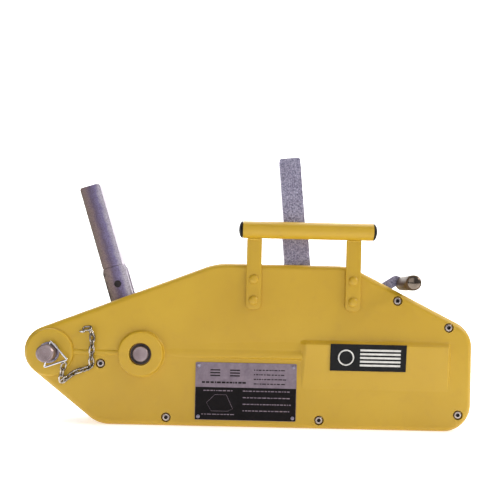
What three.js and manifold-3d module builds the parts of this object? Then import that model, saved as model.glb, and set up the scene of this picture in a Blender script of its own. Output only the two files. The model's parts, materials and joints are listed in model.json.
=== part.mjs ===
// Lever-operated wire rope puller: two cast covers, a crank with two jaw carriages, a forward,
// a reverse and a release lever, an anchor pin with its clip and chain, and a carrying handle.
// Frame: millimetres, +X along the rope towards the rope inlet, +Y towards the rear cover, +Z up.
// The origin is at mid-length on the bottom face, on which the puller stands.
import * as THREE from 'three';
import { mergeVertices } from 'three/addons/utils/BufferGeometryUtils.js';
import Module from 'manifold-3d';

const wasm = await Module();
wasm.setup();

// Casing
const BODY_RIGHT = 276;
const BODY_TOP = 200.4;
const HALF_DEPTH = 33;
const WALL = 5;
const SEAM = 6;
const EDGE_CHAMFER = 4.5;
const NOSE = { x: -242.3, z: 88.5, r: 31 };
const TOP_LEFT_SLOPE = rad(21.2);
const TOP_RIGHT_SLOPE = rad(26.7);
const BOTTOM_LEFT_SLOPE = rad(38.4);
const TOP_RIGHT_CORNER = 124;
const CORNER_RADII = { topLeft: 80, topRight: 60, rightUpper: 34, rightLower: 33, bottomLeft: 40 };

// Rope line and shafts
const ROPE_Z = 88;
const ROPE_RADIUS = 5.5;
const HUB = { x: -128.2, z: ROPE_Z, boss: 27.5, proud: 8, hole: 13.8, shaft: 9.5, web: 14 };
const PIN = { x: -239.5, z: 87.5, radius: 10.5, boss: 29, proud: 4, end: -54, head: 15, washer: 12.8 };
const REVERSE_PIVOT = { x: 67.6, z: 135.5, shaft: 6 };
const RELEASE_PIVOT = { x: 150, z: 162.9, shaft: 5 };
const GUIDE = { radius: 13, flange: 15, left: 240, flangeLeft: 260, proud: 3.2 };
const ANCHOR_GAP = { right: -212, half: 24, bottom: 21, top: 162 };
const ROPE_OUTLET = { left: -236, right: -196, half: 14, top: 45 };
const GAP = 0.3;
const FAR = 400;

// Levers
const FORWARD = { lean: rad(17.3), offset: -9, top: 220, step: 113.7, lower: 29.6, upper: 25.8, half: 9 };
const FORWARD_SWING = [rad(-25), rad(45)];
const REVERSE = { lean: rad(5.35), top: 201, step: 108, lower: 32.4, upper: 26.6, half: 9 };
const REVERSE_SWING = [rad(-20), rad(20)];
const RELEASE = { bendX: 183.6, bendZ: 184.4, gripX: 192, gripZ: 180.5, half: 6, front: -19, back: -14 };
const RELEASE_SWING = rad(40);
// Nearest and furthest reach of each lever slot from its own pivot.
const SLOT_REACH = { forward: [50, 150], reverse: [45, 100], release: [14, 60] };
const FORWARD_SLOT_EASE = rad(4);
const LEVER_SLOT_PLAY = { forward: 5, reverse: 3, release: 2 };
const SHEAR_PIN = { at: 91.5, radius: 3.4, head: 4.4 };
const GRIP = { tip: -74, radius: 9.1, neck: 8.8, stem: 4 };

// Crank and jaw carriages
const CRANK_THROW = 26;
const CRANK_PHASE = rad(10);
const CRANK_PIN = 5;
const WEB = { inner: 10, outer: 14 };
const ROD = { inner: 17, outer: 23, half: 7 };
const CARRIAGE = { half: 15, height: 23.5, wall: 3.5, length: 96, first: -72, second: 78 };
const ROD_BOLT = { radius: 3.5, head: 6 };
const JAW = { half: 10.5, thick: 11, inset: 8 };

// Fixings
const SCREWS = [[-177.8, 75], [-96.7, 11], [89.9, 11.2], [259.2, 21.2], [246.1, 127.5], [182.9, 158.9]];
const SCREW = { shank: 2.5, head: 4.25, headHeight: 4.8, counterbore: 6, boss: 8, bore: 2.8, flats: 4 };

// Handle
const HANDLE = { z: 241.5, y: -36, radius: 10.4, left: -7.5, right: 150.3, wall: 2 };
const STRAP = { x: [6.9, 127.6], width: 18.3, thick: 4, bottom: 145.2, corner: 6, rivets: [156, 181.6] };
const RIVET = { head: 5.9, height: 3, shank: 3.5 };

// Plates
const NAMEPLATE = { width: 123, height: 70, z: 44.3, thick: 0.8, rivetInset: 4 };
const BADGE = { x: 147.4, z: 89.2, width: 92, height: 33, thick: 0.6 };
const PANEL = { left: 72.4, right: 245.2, top: 110, bottom: 45.5, proud: 6.5, bevel: 6 };

// Clip and chain
const STAPLE = { x: -200.5, z: 113.5 };
const CLIP = { wire: 1.2, y: -42.6, lean: rad(78.5), upper: 14.8, lower: -18, apex: [-215.2, 79.7] };
const CHAIN_WIDTH = 1.8;

const paint = { color: 0xc59b2c, roughness: 0.42, metalness: 0.0 };
const zinc = { color: 0x8d8a96, roughness: 0.45, metalness: 0.85 };
const steel = { color: 0x8c8580, roughness: 0.4, metalness: 0.9 };
const darkSteel = { color: 0x33302e, roughness: 0.5, metalness: 0.8 };
const chrome = { color: 0xc9c9cc, roughness: 0.15, metalness: 1.0 };
const plastic = { color: 0x161616, roughness: 0.5, metalness: 0.0 };
const bronze = { color: 0x9a7440, roughness: 0.45, metalness: 0.9 };
const silver = { color: 0xa79aa6, roughness: 0.45, metalness: 0.6 };

const puller = new THREE.Group();

function rad(degrees) {
  return (degrees * Math.PI) / 180;
}

// A closed three.js geometry as a solid for joining and cutting.
function solid(geometry) {
  const bare = geometry.clone();
  bare.deleteAttribute('normal');
  bare.deleteAttribute('uv');
  const merged = mergeVertices(bare, 1e-4);
  const vertProperties = new Float32Array(merged.attributes.position.array);
  const triVerts = new Uint32Array(merged.index.array);
  return new wasm.Manifold(new wasm.Mesh({ numProp: 3, vertProperties, triVerts }));
}

function geometryOf(body) {
  const mesh = body.getMesh();
  const geometry = new THREE.BufferGeometry();
  geometry.setAttribute('position', new THREE.BufferAttribute(new Float32Array(mesh.vertProperties), 3));
  geometry.setIndex(new THREE.BufferAttribute(new Uint32Array(mesh.triVerts), 1));
  geometry.computeVertexNormals();
  return geometry;
}

function join(...pieces) {
  return pieces.reduce((whole, piece) => whole.add(piece));
}

function cut(whole, ...tools) {
  return tools.reduce((left, tool) => left.subtract(tool), whole);
}

function add(name, shape, look) {
  const geometry = shape.getMesh ? geometryOf(shape) : shape;
  const mesh = new THREE.Mesh(geometry, new THREE.MeshStandardMaterial(look));
  mesh.name = name;
  puller.add(mesh);
}

function box(x0, x1, y0, y1, z0, z1) {
  const geometry = new THREE.BoxGeometry(x1 - x0, y1 - y0, z1 - z0);
  geometry.translate((x0 + x1) / 2, (y0 + y1) / 2, (z0 + z1) / 2);
  return solid(geometry);
}

function cylinderY(radius, y0, y1, x, z, sides = 24) {
  const geometry = new THREE.CylinderGeometry(radius, radius, y1 - y0, sides);
  geometry.translate(x, (y0 + y1) / 2, z);
  return solid(geometry);
}

function cylinderX(radius, x0, x1, y, z, sides = 28) {
  const geometry = new THREE.CylinderGeometry(radius, radius, x1 - x0, sides);
  geometry.rotateZ(Math.PI / 2);
  geometry.translate((x0 + x1) / 2, y, z);
  return solid(geometry);
}

// A turned piece about an axis along Y; the profile runs from low y to high y as [radius, y].
function turnedY(profile, x, z, sides = 28) {
  const points = profile.map(([radius, y]) => new THREE.Vector2(radius, y));
  const geometry = new THREE.LatheGeometry(points, sides);
  geometry.translate(x, 0, z);
  return solid(geometry);
}

// An outline drawn in X and Z, made solid from y0 to y1.
function prismY(shape, y0, y1, curveSegments = 4, bevel = 0) {
  const options = { depth: y1 - y0 - 2 * bevel, curveSegments, bevelEnabled: bevel > 0, steps: 1 };
  if (bevel > 0) {
    const size = { bevelThickness: bevel, bevelSize: bevel, bevelOffset: -bevel };
    Object.assign(options, size, { bevelSegments: 1 });
  }
  const geometry = new THREE.ExtrudeGeometry(shape, options);
  geometry.rotateX(Math.PI / 2);
  geometry.translate(0, y1 - bevel, 0);
  return solid(geometry);
}

// An outline drawn in Y and Z, made solid from x0 to x1.
function prismX(points, x0, x1) {
  const geometry = new THREE.ExtrudeGeometry(polygon(points), { depth: x1 - x0, bevelEnabled: false });
  const toX = new THREE.Vector3(1, 0, 0);
  const toY = new THREE.Vector3(0, 1, 0);
  const toZ = new THREE.Vector3(0, 0, 1);
  geometry.applyMatrix4(new THREE.Matrix4().makeBasis(toY, toZ, toX));
  geometry.translate(x0, 0, 0);
  return solid(geometry);
}

function polygon(points) {
  return new THREE.Shape(points.map(([x, z]) => new THREE.Vector2(x, z)));
}

// A convex outline with round corners, given counter-clockwise as [x, z, radius], drawn in by inset.
function roundedOutline(corners, inset = 0) {
  const count = corners.length;
  const directions = corners.map(([x, z], i) => {
    const [nextX, nextZ] = corners[(i + 1) % count];
    return new THREE.Vector2(nextX - x, nextZ - z).normalize();
  });
  const shape = new THREE.Shape();
  for (let i = 0; i < count; i += 1) {
    const before = directions[(i + count - 1) % count];
    const after = directions[i];
    const turn = Math.acos(before.dot(after));
    const shift = inset / Math.cos(turn / 2);
    const inward = new THREE.Vector2().subVectors(after, before).normalize();
    const vertex = new THREE.Vector2(corners[i][0], corners[i][1]).addScaledVector(inward, shift);
    const radius = Math.max(corners[i][2] - inset, 1);
    const centre = vertex.clone().addScaledVector(inward, radius / Math.cos(turn / 2));
    const start = Math.atan2(-before.x, before.y);
    shape.absarc(centre.x, centre.y, radius, start, start + turn, false);
  }
  return shape;
}

// The casing's outline: round nose, two sloping left edges, flat top and bottom, sloping right edge.
function casingCorners() {
  const upper = new THREE.Vector2(-Math.sin(TOP_LEFT_SLOPE), Math.cos(TOP_LEFT_SLOPE));
  const lower = new THREE.Vector2(-Math.sin(BOTTOM_LEFT_SLOPE), -Math.cos(BOTTOM_LEFT_SLOPE));
  const nose = new THREE.Vector2(NOSE.x, NOSE.z);
  const upperReach = upper.dot(nose) + NOSE.r;
  const lowerReach = lower.dot(nose) + NOSE.r;
  const cross = upper.x * lower.y - upper.y * lower.x;
  const tipX = (upperReach * lower.y - lowerReach * upper.y) / cross;
  const tipZ = (upper.x * lowerReach - lower.x * upperReach) / cross;
  const topLeftX = (upperReach - upper.y * BODY_TOP) / upper.x;
  const bottomLeftX = lowerReach / lower.x;
  const rightUpperZ = BODY_TOP - (BODY_RIGHT - TOP_RIGHT_CORNER) * Math.tan(TOP_RIGHT_SLOPE);
  return [
    [tipX, tipZ, NOSE.r],
    [bottomLeftX, 0, CORNER_RADII.bottomLeft],
    [BODY_RIGHT, 0, CORNER_RADII.rightLower],
    [BODY_RIGHT, rightUpperZ, CORNER_RADII.rightUpper],
    [TOP_RIGHT_CORNER, BODY_TOP, CORNER_RADII.topRight],
    [topLeftX, BODY_TOP, CORNER_RADII.topLeft],
  ];
}

// Where a lever passes the casing: the fan that its bar sweeps, between two distances from its pivot.
function sweptFan(pivot, from, to, halfWidth, near, far) {
  const point = (angle, along, side) => [
    pivot.x + Math.sin(angle) * along + Math.cos(angle) * side,
    pivot.z + Math.cos(angle) * along - Math.sin(angle) * side,
  ];
  const points = [point(from, near, -halfWidth)];
  const steps = 4;
  points.push(point(from, far, -halfWidth));
  for (let i = 1; i < steps; i += 1) {
    points.push(point(from + ((to - from) * i) / steps, far, 0));
  }
  points.push(point(to, far, halfWidth));
  points.push(point(to, near, halfWidth));
  return polygon(points.reverse());
}

// Openings in the top edge for the three levers.
function leverSlots() {
  const forward = sweptFan(
    HUB, FORWARD_SWING[0] - FORWARD.lean - FORWARD_SLOT_EASE, FORWARD_SWING[1] - FORWARD.lean,
    FORWARD.lower / 2 + LEVER_SLOT_PLAY.forward, ...SLOT_REACH.forward,
  );
  const reverse = sweptFan(
    REVERSE_PIVOT, REVERSE_SWING[0] - REVERSE.lean, REVERSE_SWING[1] - REVERSE.lean,
    REVERSE.lower / 2 + LEVER_SLOT_PLAY.reverse, ...SLOT_REACH.reverse,
  );
  const rest = releaseAngle();
  const release = sweptFan(
    RELEASE_PIVOT, rest - RELEASE_SWING, rest,
    RELEASE.half + LEVER_SLOT_PLAY.release, ...SLOT_REACH.release,
  );
  return [
    prismY(forward, -FORWARD.half - 4, FORWARD.half + 4),
    prismY(reverse, -REVERSE.half - 3, REVERSE.half + 3),
    prismY(release, RELEASE.front - 2, RELEASE.back + 2),
  ];
}

function releaseAngle() {
  return Math.atan2(RELEASE.bendX - RELEASE_PIVOT.x, RELEASE.bendZ - RELEASE_PIVOT.z);
}

// One cover shell. Its outer face lies at y = -HALF_DEPTH (front) or +HALF_DEPTH (rear).
function coverShell(side) {
  const outline = roundedOutline(casingCorners());
  const inner = roundedOutline(casingCorners(), WALL);
  const seam = side < 0 ? SEAM - GAP / 2 : SEAM + GAP / 2;
  const shell = prismY(outline, -HALF_DEPTH, HALF_DEPTH, 4, EDGE_CHAMFER);
  const half = side < 0
    ? box(-FAR, FAR, seam, FAR, -FAR, FAR)
    : box(-FAR, FAR, -FAR, seam, -FAR, FAR);
  const faceInside = HALF_DEPTH - WALL;
  const hollow = prismY(inner, -faceInside, faceInside, 3);
  const bosses = SCREWS.map(([x, z]) => coverSpan(side, SCREW.boss, faceInside + 1, x, z));
  const shaftBosses = [
    coverBoss(side, 20, 26, HUB),
    coverBoss(side, 11, 21, REVERSE_PIVOT),
    coverBoss(side, 9, 22, RELEASE_PIVOT),
    coverBoss(side, 17, 25, PIN),
  ];
  const { half: gapHalf, bottom, top, right } = ANCHOR_GAP;
  const anchorGap = box(-FAR, right, -gapHalf, gapHalf, bottom, top);
  const outlet = ROPE_OUTLET;
  const ropeOutlet = box(outlet.left, outlet.right, -outlet.half, outlet.half, -5, outlet.top);
  const raised = [outerBoss(side, HUB), outerBoss(side, PIN), anchorRib(side)];
  let cover = cut(shell, hollow, anchorGap, ropeOutlet, ...leverSlots());
  cover = cover.intersect(shell);
  cover = join(cut(cover, half), ...bosses, ...shaftBosses, ...raised);
  const shaftHoles = [
    cylinderY(HUB.hole, -60, 60, HUB.x, HUB.z),
    cylinderY(PIN.radius + GAP, -60, 60, PIN.x, PIN.z, 24),
    cylinderY(REVERSE_PIVOT.shaft + GAP, -31, 31, REVERSE_PIVOT.x, REVERSE_PIVOT.z, 16),
    cylinderY(RELEASE_PIVOT.shaft + GAP, -31, 31, RELEASE_PIVOT.x, RELEASE_PIVOT.z, 16),
    cylinderX(GUIDE.radius + GAP, GUIDE.left, FAR, 0, ROPE_Z, 24),
  ];
  const screwHoles = SCREWS.flatMap(([x, z]) => [
    cylinderY(SCREW.bore, -60, 60, x, z, 10),
    side < 0
      ? cylinderY(SCREW.counterbore, -60, -HALF_DEPTH + SCREW.headHeight + 0.7, x, z, 16)
      : cylinderY(SCREW.counterbore, HALF_DEPTH - 5, 60, x, z, 16),
  ]);
  return cut(cover, ...shaftHoles, ...screwHoles);
}

// A boss that runs from just inside the face to the seam.
function coverSpan(side, radius, reach, x, z) {
  return side < 0
    ? cylinderY(radius, -reach, SEAM - GAP / 2, x, z, 12)
    : cylinderY(radius, SEAM + GAP / 2, reach, x, z, 12);
}

// A boss inside the face that carries a shaft; it stands from the wall to y = from.
function coverBoss(side, radius, from, place) {
  const wall = HALF_DEPTH - WALL + 1;
  return side < 0
    ? cylinderY(radius, -wall, -from, place.x, place.z, 16)
    : cylinderY(radius, from, wall, place.x, place.z, 16);
}

// A raised round pad on the outer face with a chamfered rim.
function outerBoss(side, place) {
  const rim = 2;
  const base = HALF_DEPTH - 1;
  const top = HALF_DEPTH + place.proud;
  const profile = side < 0
    ? [[0, -top], [place.boss - rim, -top], [place.boss, -top + rim], [place.boss, -base], [0, -base]]
    : [[0, base], [place.boss, base], [place.boss, top - rim], [place.boss - rim, top], [0, top]];
  return turnedY(profile, place.x, place.z, 24);
}

// The low rib along the rope line between the two pads.
function anchorRib(side) {
  const base = side * (HALF_DEPTH - 1);
  const crest = side * (HALF_DEPTH + 1.6);
  const profile = [[base, -2.4], [crest, -0.8], [crest, 2.4], [base, 4]];
  return prismX(profile.map(([y, z]) => [y, ROPE_Z + z]), PIN.x, HUB.x);
}

// The raised panel at the rope end: bevelled along its top and flush with the face at its foot.
function raisedPanel() {
  const face = -HALF_DEPTH;
  const crest = face - PANEL.proud;
  const profile = [
    [face + 1, PANEL.top], [face, PANEL.top], [crest, PANEL.top - PANEL.bevel],
    [face, PANEL.bottom], [face + 1, PANEL.bottom],
  ];
  return prismX(profile, PANEL.left, PANEL.right);
}

// The face swells out above the rope line towards the panel and leaves a step under it.
function ropeLineStep() {
  const face = -HALF_DEPTH;
  const profile = [[face + 1, ROPE_Z], [face - 3, ROPE_Z], [face, ROPE_Z + 26], [face + 1, ROPE_Z + 26]];
  return prismX(profile, HUB.x + HUB.boss + 30, PANEL.left + 1);
}

function rivetHoles() {
  const handle = STRAP.x.flatMap((x) => STRAP.rivets.map((z) => [x, z]));
  const holes = handle.map(([x, z]) => cylinderY(RIVET.shank + GAP, -60, 0, x, z, 12));
  const plate = nameplateRivets().map(([x, z]) => cylinderY(1.3, -60, -HALF_DEPTH + 4, x, z, 8));
  return [...holes, ...plate, cylinderY(2.3, -60, -HALF_DEPTH + 4, STAPLE.x, STAPLE.z, 8)];
}

function nameplateRivets() {
  const x = NAMEPLATE.width / 2 - NAMEPLATE.rivetInset;
  const z = NAMEPLATE.height / 2 - NAMEPLATE.rivetInset;
  return [[-x, z], [x, z], [-x, -z], [x, -z]].map(([dx, dz]) => [dx, NAMEPLATE.z + dz]);
}

function makeCovers() {
  const front = join(coverShell(-1), cut(raisedPanel(), screwWells()), ropeLineStep());
  add('front_cover', cut(front, ...rivetHoles()), paint);
  add('rear_cover', coverShell(1), paint);
}

// The panel leaves the screw beside it clear.
function screwWells() {
  const [x, z] = SCREWS[4];
  return cylinderY(SCREW.counterbore + 2, -60, 0, x, z, 20);
}

// Socket-head screws through both covers, with hexagon nuts in the rear cover.
function makeScrews() {
  const headTop = -HALF_DEPTH + 0.4;
  const headBase = headTop + SCREW.headHeight;
  const nutBase = HALF_DEPTH - 5 + GAP;
  SCREWS.forEach(([x, z], i) => {
    const head = cylinderY(SCREW.head, headTop, headBase, x, z, 16);
    const shank = cylinderY(SCREW.shank, headBase - 0.5, HALF_DEPTH - 0.5, x, z, 8);
    const socket = cylinderY(SCREW.flats / Math.sqrt(3), headTop - 1, headTop + 3, x, z, 6);
    add(`cover_screw_${i + 1}`, cut(join(head, shank), socket), darkSteel);
    const nut = cylinderY(4.6, nutBase, nutBase + 4, x, z, 6);
    add(`cover_nut_${i + 1}`, cut(nut, cylinderY(SCREW.bore, 0, 60, x, z, 10)), zinc);
  });
}

// The carrying handle: a tube on two straps, each strap riveted to the front cover.
function makeHandle() {
  const { z, y, radius, left, right, wall } = HANDLE;
  const tube = cut(
    cylinderX(radius, left, right, y, z, 24),
    cylinderX(radius - wall, left - 1, right + 1, y, z, 24),
  );
  add('handle_tube', tube, paint);
  [[left, -1, 'left'], [right, 1, 'right']].forEach(([x, side, word]) => {
    const profile = [[0, 5], [5, 4.7], [9, 3], [radius, 0.3], [radius - wall - GAP, 0.3],
      [radius - wall - GAP, -12], [0, -12]];
    const points = profile.map(([r, along]) => new THREE.Vector2(r, along)).reverse();
    const geometry = new THREE.LatheGeometry(points, 20);
    geometry.rotateZ(-side * Math.PI / 2);
    geometry.translate(x, y, z);
    add(`handle_cap_${word}`, solid(geometry), plastic);
  });
  const outer = -HALF_DEPTH - GAP - STRAP.thick;
  STRAP.x.forEach((x, i) => {
    const half = STRAP.width / 2;
    const top = z - radius - GAP;
    const outline = roundedOutline([
      [x - half, STRAP.bottom, STRAP.corner], [x + half, STRAP.bottom, STRAP.corner],
      [x + half, top, 0.5], [x - half, top, 0.5],
    ]);
    const holes = STRAP.rivets.map((rz) => cylinderY(RIVET.shank + GAP, -60, 0, x, rz, 12));
    add(`handle_strap_${i + 1}`, cut(prismY(outline, outer, outer + STRAP.thick, 3), ...holes), paint);
    STRAP.rivets.forEach((rz, j) => {
      const face = outer - GAP;
      const dome = [[0, face - RIVET.height], [3, face - 2.6], [5, face - 1.5], [RIVET.head, face],
        [RIVET.shank, face], [RIVET.shank, -HALF_DEPTH + WALL - 1], [0, -HALF_DEPTH + WALL - 1]];
      add(`strap_rivet_${i * 2 + j + 1}`, turnedY(dome, x, rz, 14), paint);
    });
  });
}

// The data plate with its four rivets, and the plain badge on the raised panel.
function makePlates() {
  const face = -HALF_DEPTH - GAP;
  const { width, height, z, thick } = NAMEPLATE;
  const plate = box(-width / 2, width / 2, face - thick, face, z - height / 2, z + height / 2);
  const holes = nameplateRivets().map(([x, rz]) => cylinderY(1.3, -60, 0, x, rz, 8));
  add('nameplate', cut(plate, ...holes), silver);
  const top = face - thick - 0.2;
  const root = -HALF_DEPTH + 3;
  const dome = [[0, top - 1.1], [1.5, top - 0.8], [2.3, top], [1, top], [1, root], [0, root]];
  nameplateRivets().forEach(([x, rz], i) => {
    add(`nameplate_rivet_${i + 1}`, turnedY(dome, x, rz, 8), chrome);
  });
  const rise = PANEL.top - PANEL.bevel - PANEL.bottom;
  const tilt = Math.atan2(PANEL.proud, rise);
  const badge = new THREE.BoxGeometry(BADGE.width, BADGE.thick, BADGE.height);
  const onPanel = (PANEL.proud * (BADGE.z - PANEL.bottom)) / rise;
  badge.rotateX(tilt);
  badge.translate(BADGE.x, -HALF_DEPTH - onPanel - GAP - BADGE.thick, BADGE.z);
  add('badge_plate', badge, plastic);
}

// The anchor pin with its washer, the wire clip through its cross hole, and the tether chain.
function makeAnchor() {
  const axis = clipAxis();
  const headSide = HALF_DEPTH + PIN.proud + GAP;
  const profile = [[0, PIN.end], [PIN.radius - 1.2, PIN.end], [PIN.radius, PIN.end + 1.2],
    [PIN.radius, headSide], [PIN.head, headSide], [PIN.head, headSide + 4],
    [PIN.head - 1.5, headSide + 5.5], [0, headSide + 5.5]];
  const crossHole = new THREE.CylinderGeometry(CLIP.wire + 0.4, CLIP.wire + 0.4, 60, 8);
  crossHole.rotateX(Math.PI / 2);
  crossHole.rotateY(Math.PI / 2 - CLIP.lean);
  crossHole.translate(PIN.x, CLIP.y, PIN.z);
  add('anchor_pin', cut(turnedY(profile, PIN.x, PIN.z, 24), solid(crossHole)), steel);
  const washerFace = -HALF_DEPTH - PIN.proud - GAP;
  const washer = cylinderY(PIN.washer, washerFace - 2.2, washerFace, PIN.x, PIN.z, 24);
  const bore = cylinderY(PIN.radius + GAP, -60, 0, PIN.x, PIN.z, 24);
  add('anchor_washer', cut(washer, bore), zinc);

  const at = (along) => [PIN.x + axis.x * along, CLIP.y, PIN.z + axis.z * along];
  const apex = [CLIP.apex[0], CLIP.y, CLIP.apex[1]];
  const inset = 6;
  const clipPath = roundedPath([at(inset), at(CLIP.upper), apex, at(CLIP.lower), at(-inset)], 2.6);
  add('pin_clip', tube(clipPath, CLIP.wire, 6, 34), chrome);

  const stapleFace = -HALF_DEPTH - 2.6;
  const staple = [[0, stapleFace - 1.6], [2.4, stapleFace - 1.2], [3.4, stapleFace], [2, stapleFace],
    [2, -HALF_DEPTH + 3.5], [0, -HALF_DEPTH + 3.5]];
  add('chain_staple', turnedY(staple, STAPLE.x, STAPLE.z, 12), chrome);
  const route = [
    [-196.8, -36.0, 115.7], [-193.2, -36.0, 117.4], [-188.2, -36.0, 111.1], [-187.4, -37.2, 97.8],
    [-188.1, -37.4, 83.5], [-188.4, -36.2, 72.9], [-195.6, -36.0, 68.1], [-206.4, -36.0, 64.5],
    [-215.4, -36.0, 58.6], [-223.4, -36.6, 52.2], [-223.0, -38.6, 61.6], [-220.8, -40.4, 70.2],
    [-219.0, -41.6, 75.1],
  ].map(([x, y, z]) => new THREE.Vector3(x, y, z));
  const hang = new THREE.CatmullRomCurve3(route, false, 'centripetal');
  add('tether_chain', tube(hang, CHAIN_WIDTH, 8, 34), chrome);
}

function clipAxis() {
  return { x: Math.cos(CLIP.lean), z: Math.sin(CLIP.lean) };
}

// A path of straight legs with a rounded bend at each inner point.
function roundedPath(points, bend) {
  const corners = points.map(([x, y, z]) => new THREE.Vector3(x, y, z));
  const path = new THREE.CurvePath();
  let from = corners[0];
  for (let i = 1; i < corners.length - 1; i += 1) {
    const into = corners[i].clone().sub(corners[i - 1]).normalize();
    const out = corners[i + 1].clone().sub(corners[i]).normalize();
    const bendStart = corners[i].clone().addScaledVector(into, -bend);
    const bendEnd = corners[i].clone().addScaledVector(out, bend);
    path.add(new THREE.LineCurve3(from, bendStart));
    path.add(new THREE.QuadraticBezierCurve3(bendStart, corners[i], bendEnd));
    from = bendEnd;
  }
  path.add(new THREE.LineCurve3(from, corners[corners.length - 1]));
  return path;
}

function tube(path, radius, sides, steps) {
  const section = new THREE.Shape();
  for (let i = 0; i < sides; i += 1) {
    const angle = (2 * Math.PI * i) / sides;
    const move = i === 0 ? 'moveTo' : 'lineTo';
    section[move](radius * Math.cos(angle), radius * Math.sin(angle));
  }
  return new THREE.ExtrudeGeometry(section, { steps, extrudePath: path, bevelEnabled: false });
}

// A bar standing on a pivot along +Z before it leans: [half width, distance from the pivot] outline.
function leaningBar(pivot, lean, outline, y0, y1) {
  const turn = (side, along) => [
    pivot.x + Math.sin(-lean) * along + Math.cos(lean) * side,
    pivot.z + Math.cos(lean) * along + Math.sin(lean) * side,
  ];
  return prismY(polygon(outline.map(([side, along]) => turn(side, along))), y0, y1);
}

// The crank: one shaft through both covers, a web and a crank pin on each side of the lever eye.
function makeCrank() {
  const end = HALF_DEPTH + HUB.proud - 0.8;
  const groove = end - 2.6;
  const half = [[HUB.shaft - 0.8, end], [HUB.shaft, end - 0.8], [HUB.shaft, groove + 1.2],
    [HUB.shaft - 1, groove + 1.2], [HUB.shaft - 1, groove], [HUB.shaft, groove]];
  const profile = [[0, -end], ...half.map(([r, y]) => [r, -y]), ...half.reverse(), [0, end]];
  const pieces = [turnedY(profile, HUB.x, HUB.z, 16)];
  [-1, 1].forEach((side) => {
    const up = -side;
    const pin = crankPin(side);
    const [low, high] = span(side, WEB.inner, WEB.outer);
    pieces.push(cylinderY(HUB.web, low, high, HUB.x, HUB.z, 16), cylinderY(9, low, high, pin.x, pin.z, 12));
    const lean = CRANK_PHASE;
    const web = [[-9, 0], [9, 0], [8, up * CRANK_THROW], [-8, up * CRANK_THROW]];
    pieces.push(leaningBar(HUB, lean, web, low, high));
    const [pinLow, pinHigh] = span(side, WEB.inner + 1, ROD.outer + 2);
    pieces.push(cylinderY(CRANK_PIN, pinLow, pinHigh, pin.x, pin.z, 12));
  });
  add('crank_shaft', join(...pieces), steel);
  [['front', -1], ['rear', 1]].forEach(([word, side]) => {
    const [ringLow, ringHigh] = span(side, groove + 0.2, groove + 1.0);
    const ring = cylinderY(12.6, ringLow, ringHigh, HUB.x, HUB.z, 16);
    const ringBore = cylinderY(HUB.shaft - 1 + GAP, -60, 60, HUB.x, HUB.z, 16);
    add(`${word}_circlip`, cut(ring, ringBore), darkSteel);
    const [bushLow, bushHigh] = span(side, 26, groove - 0.3);
    const bush = cylinderY(HUB.hole - GAP, bushLow, bushHigh, HUB.x, HUB.z, 20);
    add(`${word}_shaft_bush`, cut(bush, cylinderY(HUB.shaft + GAP, -60, 60, HUB.x, HUB.z, 16)), bronze);
  });
}

function span(side, near, far) {
  return side < 0 ? [-far, -near] : [near, far];
}

// The front crank pin points up and the rear one down, both turned from upright by the phase.
function crankPin(side) {
  const reach = -side * CRANK_THROW;
  return { x: HUB.x - Math.sin(CRANK_PHASE) * reach, z: HUB.z + Math.cos(CRANK_PHASE) * reach };
}

// The forward lever: a crank arm with an eye round the shaft, and a bar held in its fork by a shear pin.
function makeForwardLever() {
  const { lean, offset, top, step, lower, upper, half } = FORWARD;
  const slot = 4.4;
  const eye = cylinderY(20, -half, half, HUB.x, HUB.z, 20);
  const armOutline = [[offset - lower / 2, 8], [offset + lower / 2, 8], [offset + lower / 2, step - 6],
    [offset + lower / 2 - 2, step], [offset - lower / 2 + 2, step], [offset - lower / 2, step - 6]];
  const arm = leaningBar(HUB, lean, armOutline, -half, half);
  const reach = 40;
  const forkTop = step + 9;
  const forkOutline = [[offset - reach, 62], [offset + reach, 62], [offset + reach, forkTop],
    [offset - reach, forkTop]];
  const fork = leaningBar(HUB, lean, forkOutline, -slot, slot);
  const bore = cylinderY(HUB.shaft + GAP, -60, 60, HUB.x, HUB.z, 16);
  const pin = {
    x: HUB.x - Math.sin(lean) * SHEAR_PIN.at + Math.cos(lean) * offset,
    z: HUB.z + Math.cos(lean) * SHEAR_PIN.at + Math.sin(lean) * offset,
  };
  const pinHole = cylinderY(SHEAR_PIN.radius + GAP, -60, 60, pin.x, pin.z, 16);
  add('crank_arm', cut(join(eye, arm), fork, bore, pinHole), zinc);
  const w = upper / 2;
  const barOutline = [[offset - w, step + GAP], [offset + w, step + GAP], [offset + w, top - 2],
    [offset + w - 2, top], [offset - w + 2, top], [offset - w, top - 2]];
  const tongueOutline = [[offset - w + 1, 66], [offset + w - 1, 66], [offset + w - 1, step + 4],
    [offset - w + 1, step + 4]];
  const bar = leaningBar(HUB, lean, barOutline, -half - 0.8, half + 0.8);
  const tongue = leaningBar(HUB, lean, tongueOutline, -slot + GAP, slot - GAP);
  add('forward_lever', cut(join(bar, tongue), pinHole), zinc);
  const shearPin = join(
    cylinderY(SHEAR_PIN.radius, -half - 0.5, half + 0.5, pin.x, pin.z, 16),
    cylinderY(SHEAR_PIN.head, -half - 1.6, -half - GAP, pin.x, pin.z, 16),
  );
  add('shear_pin', shearPin, darkSteel);
}

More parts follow.
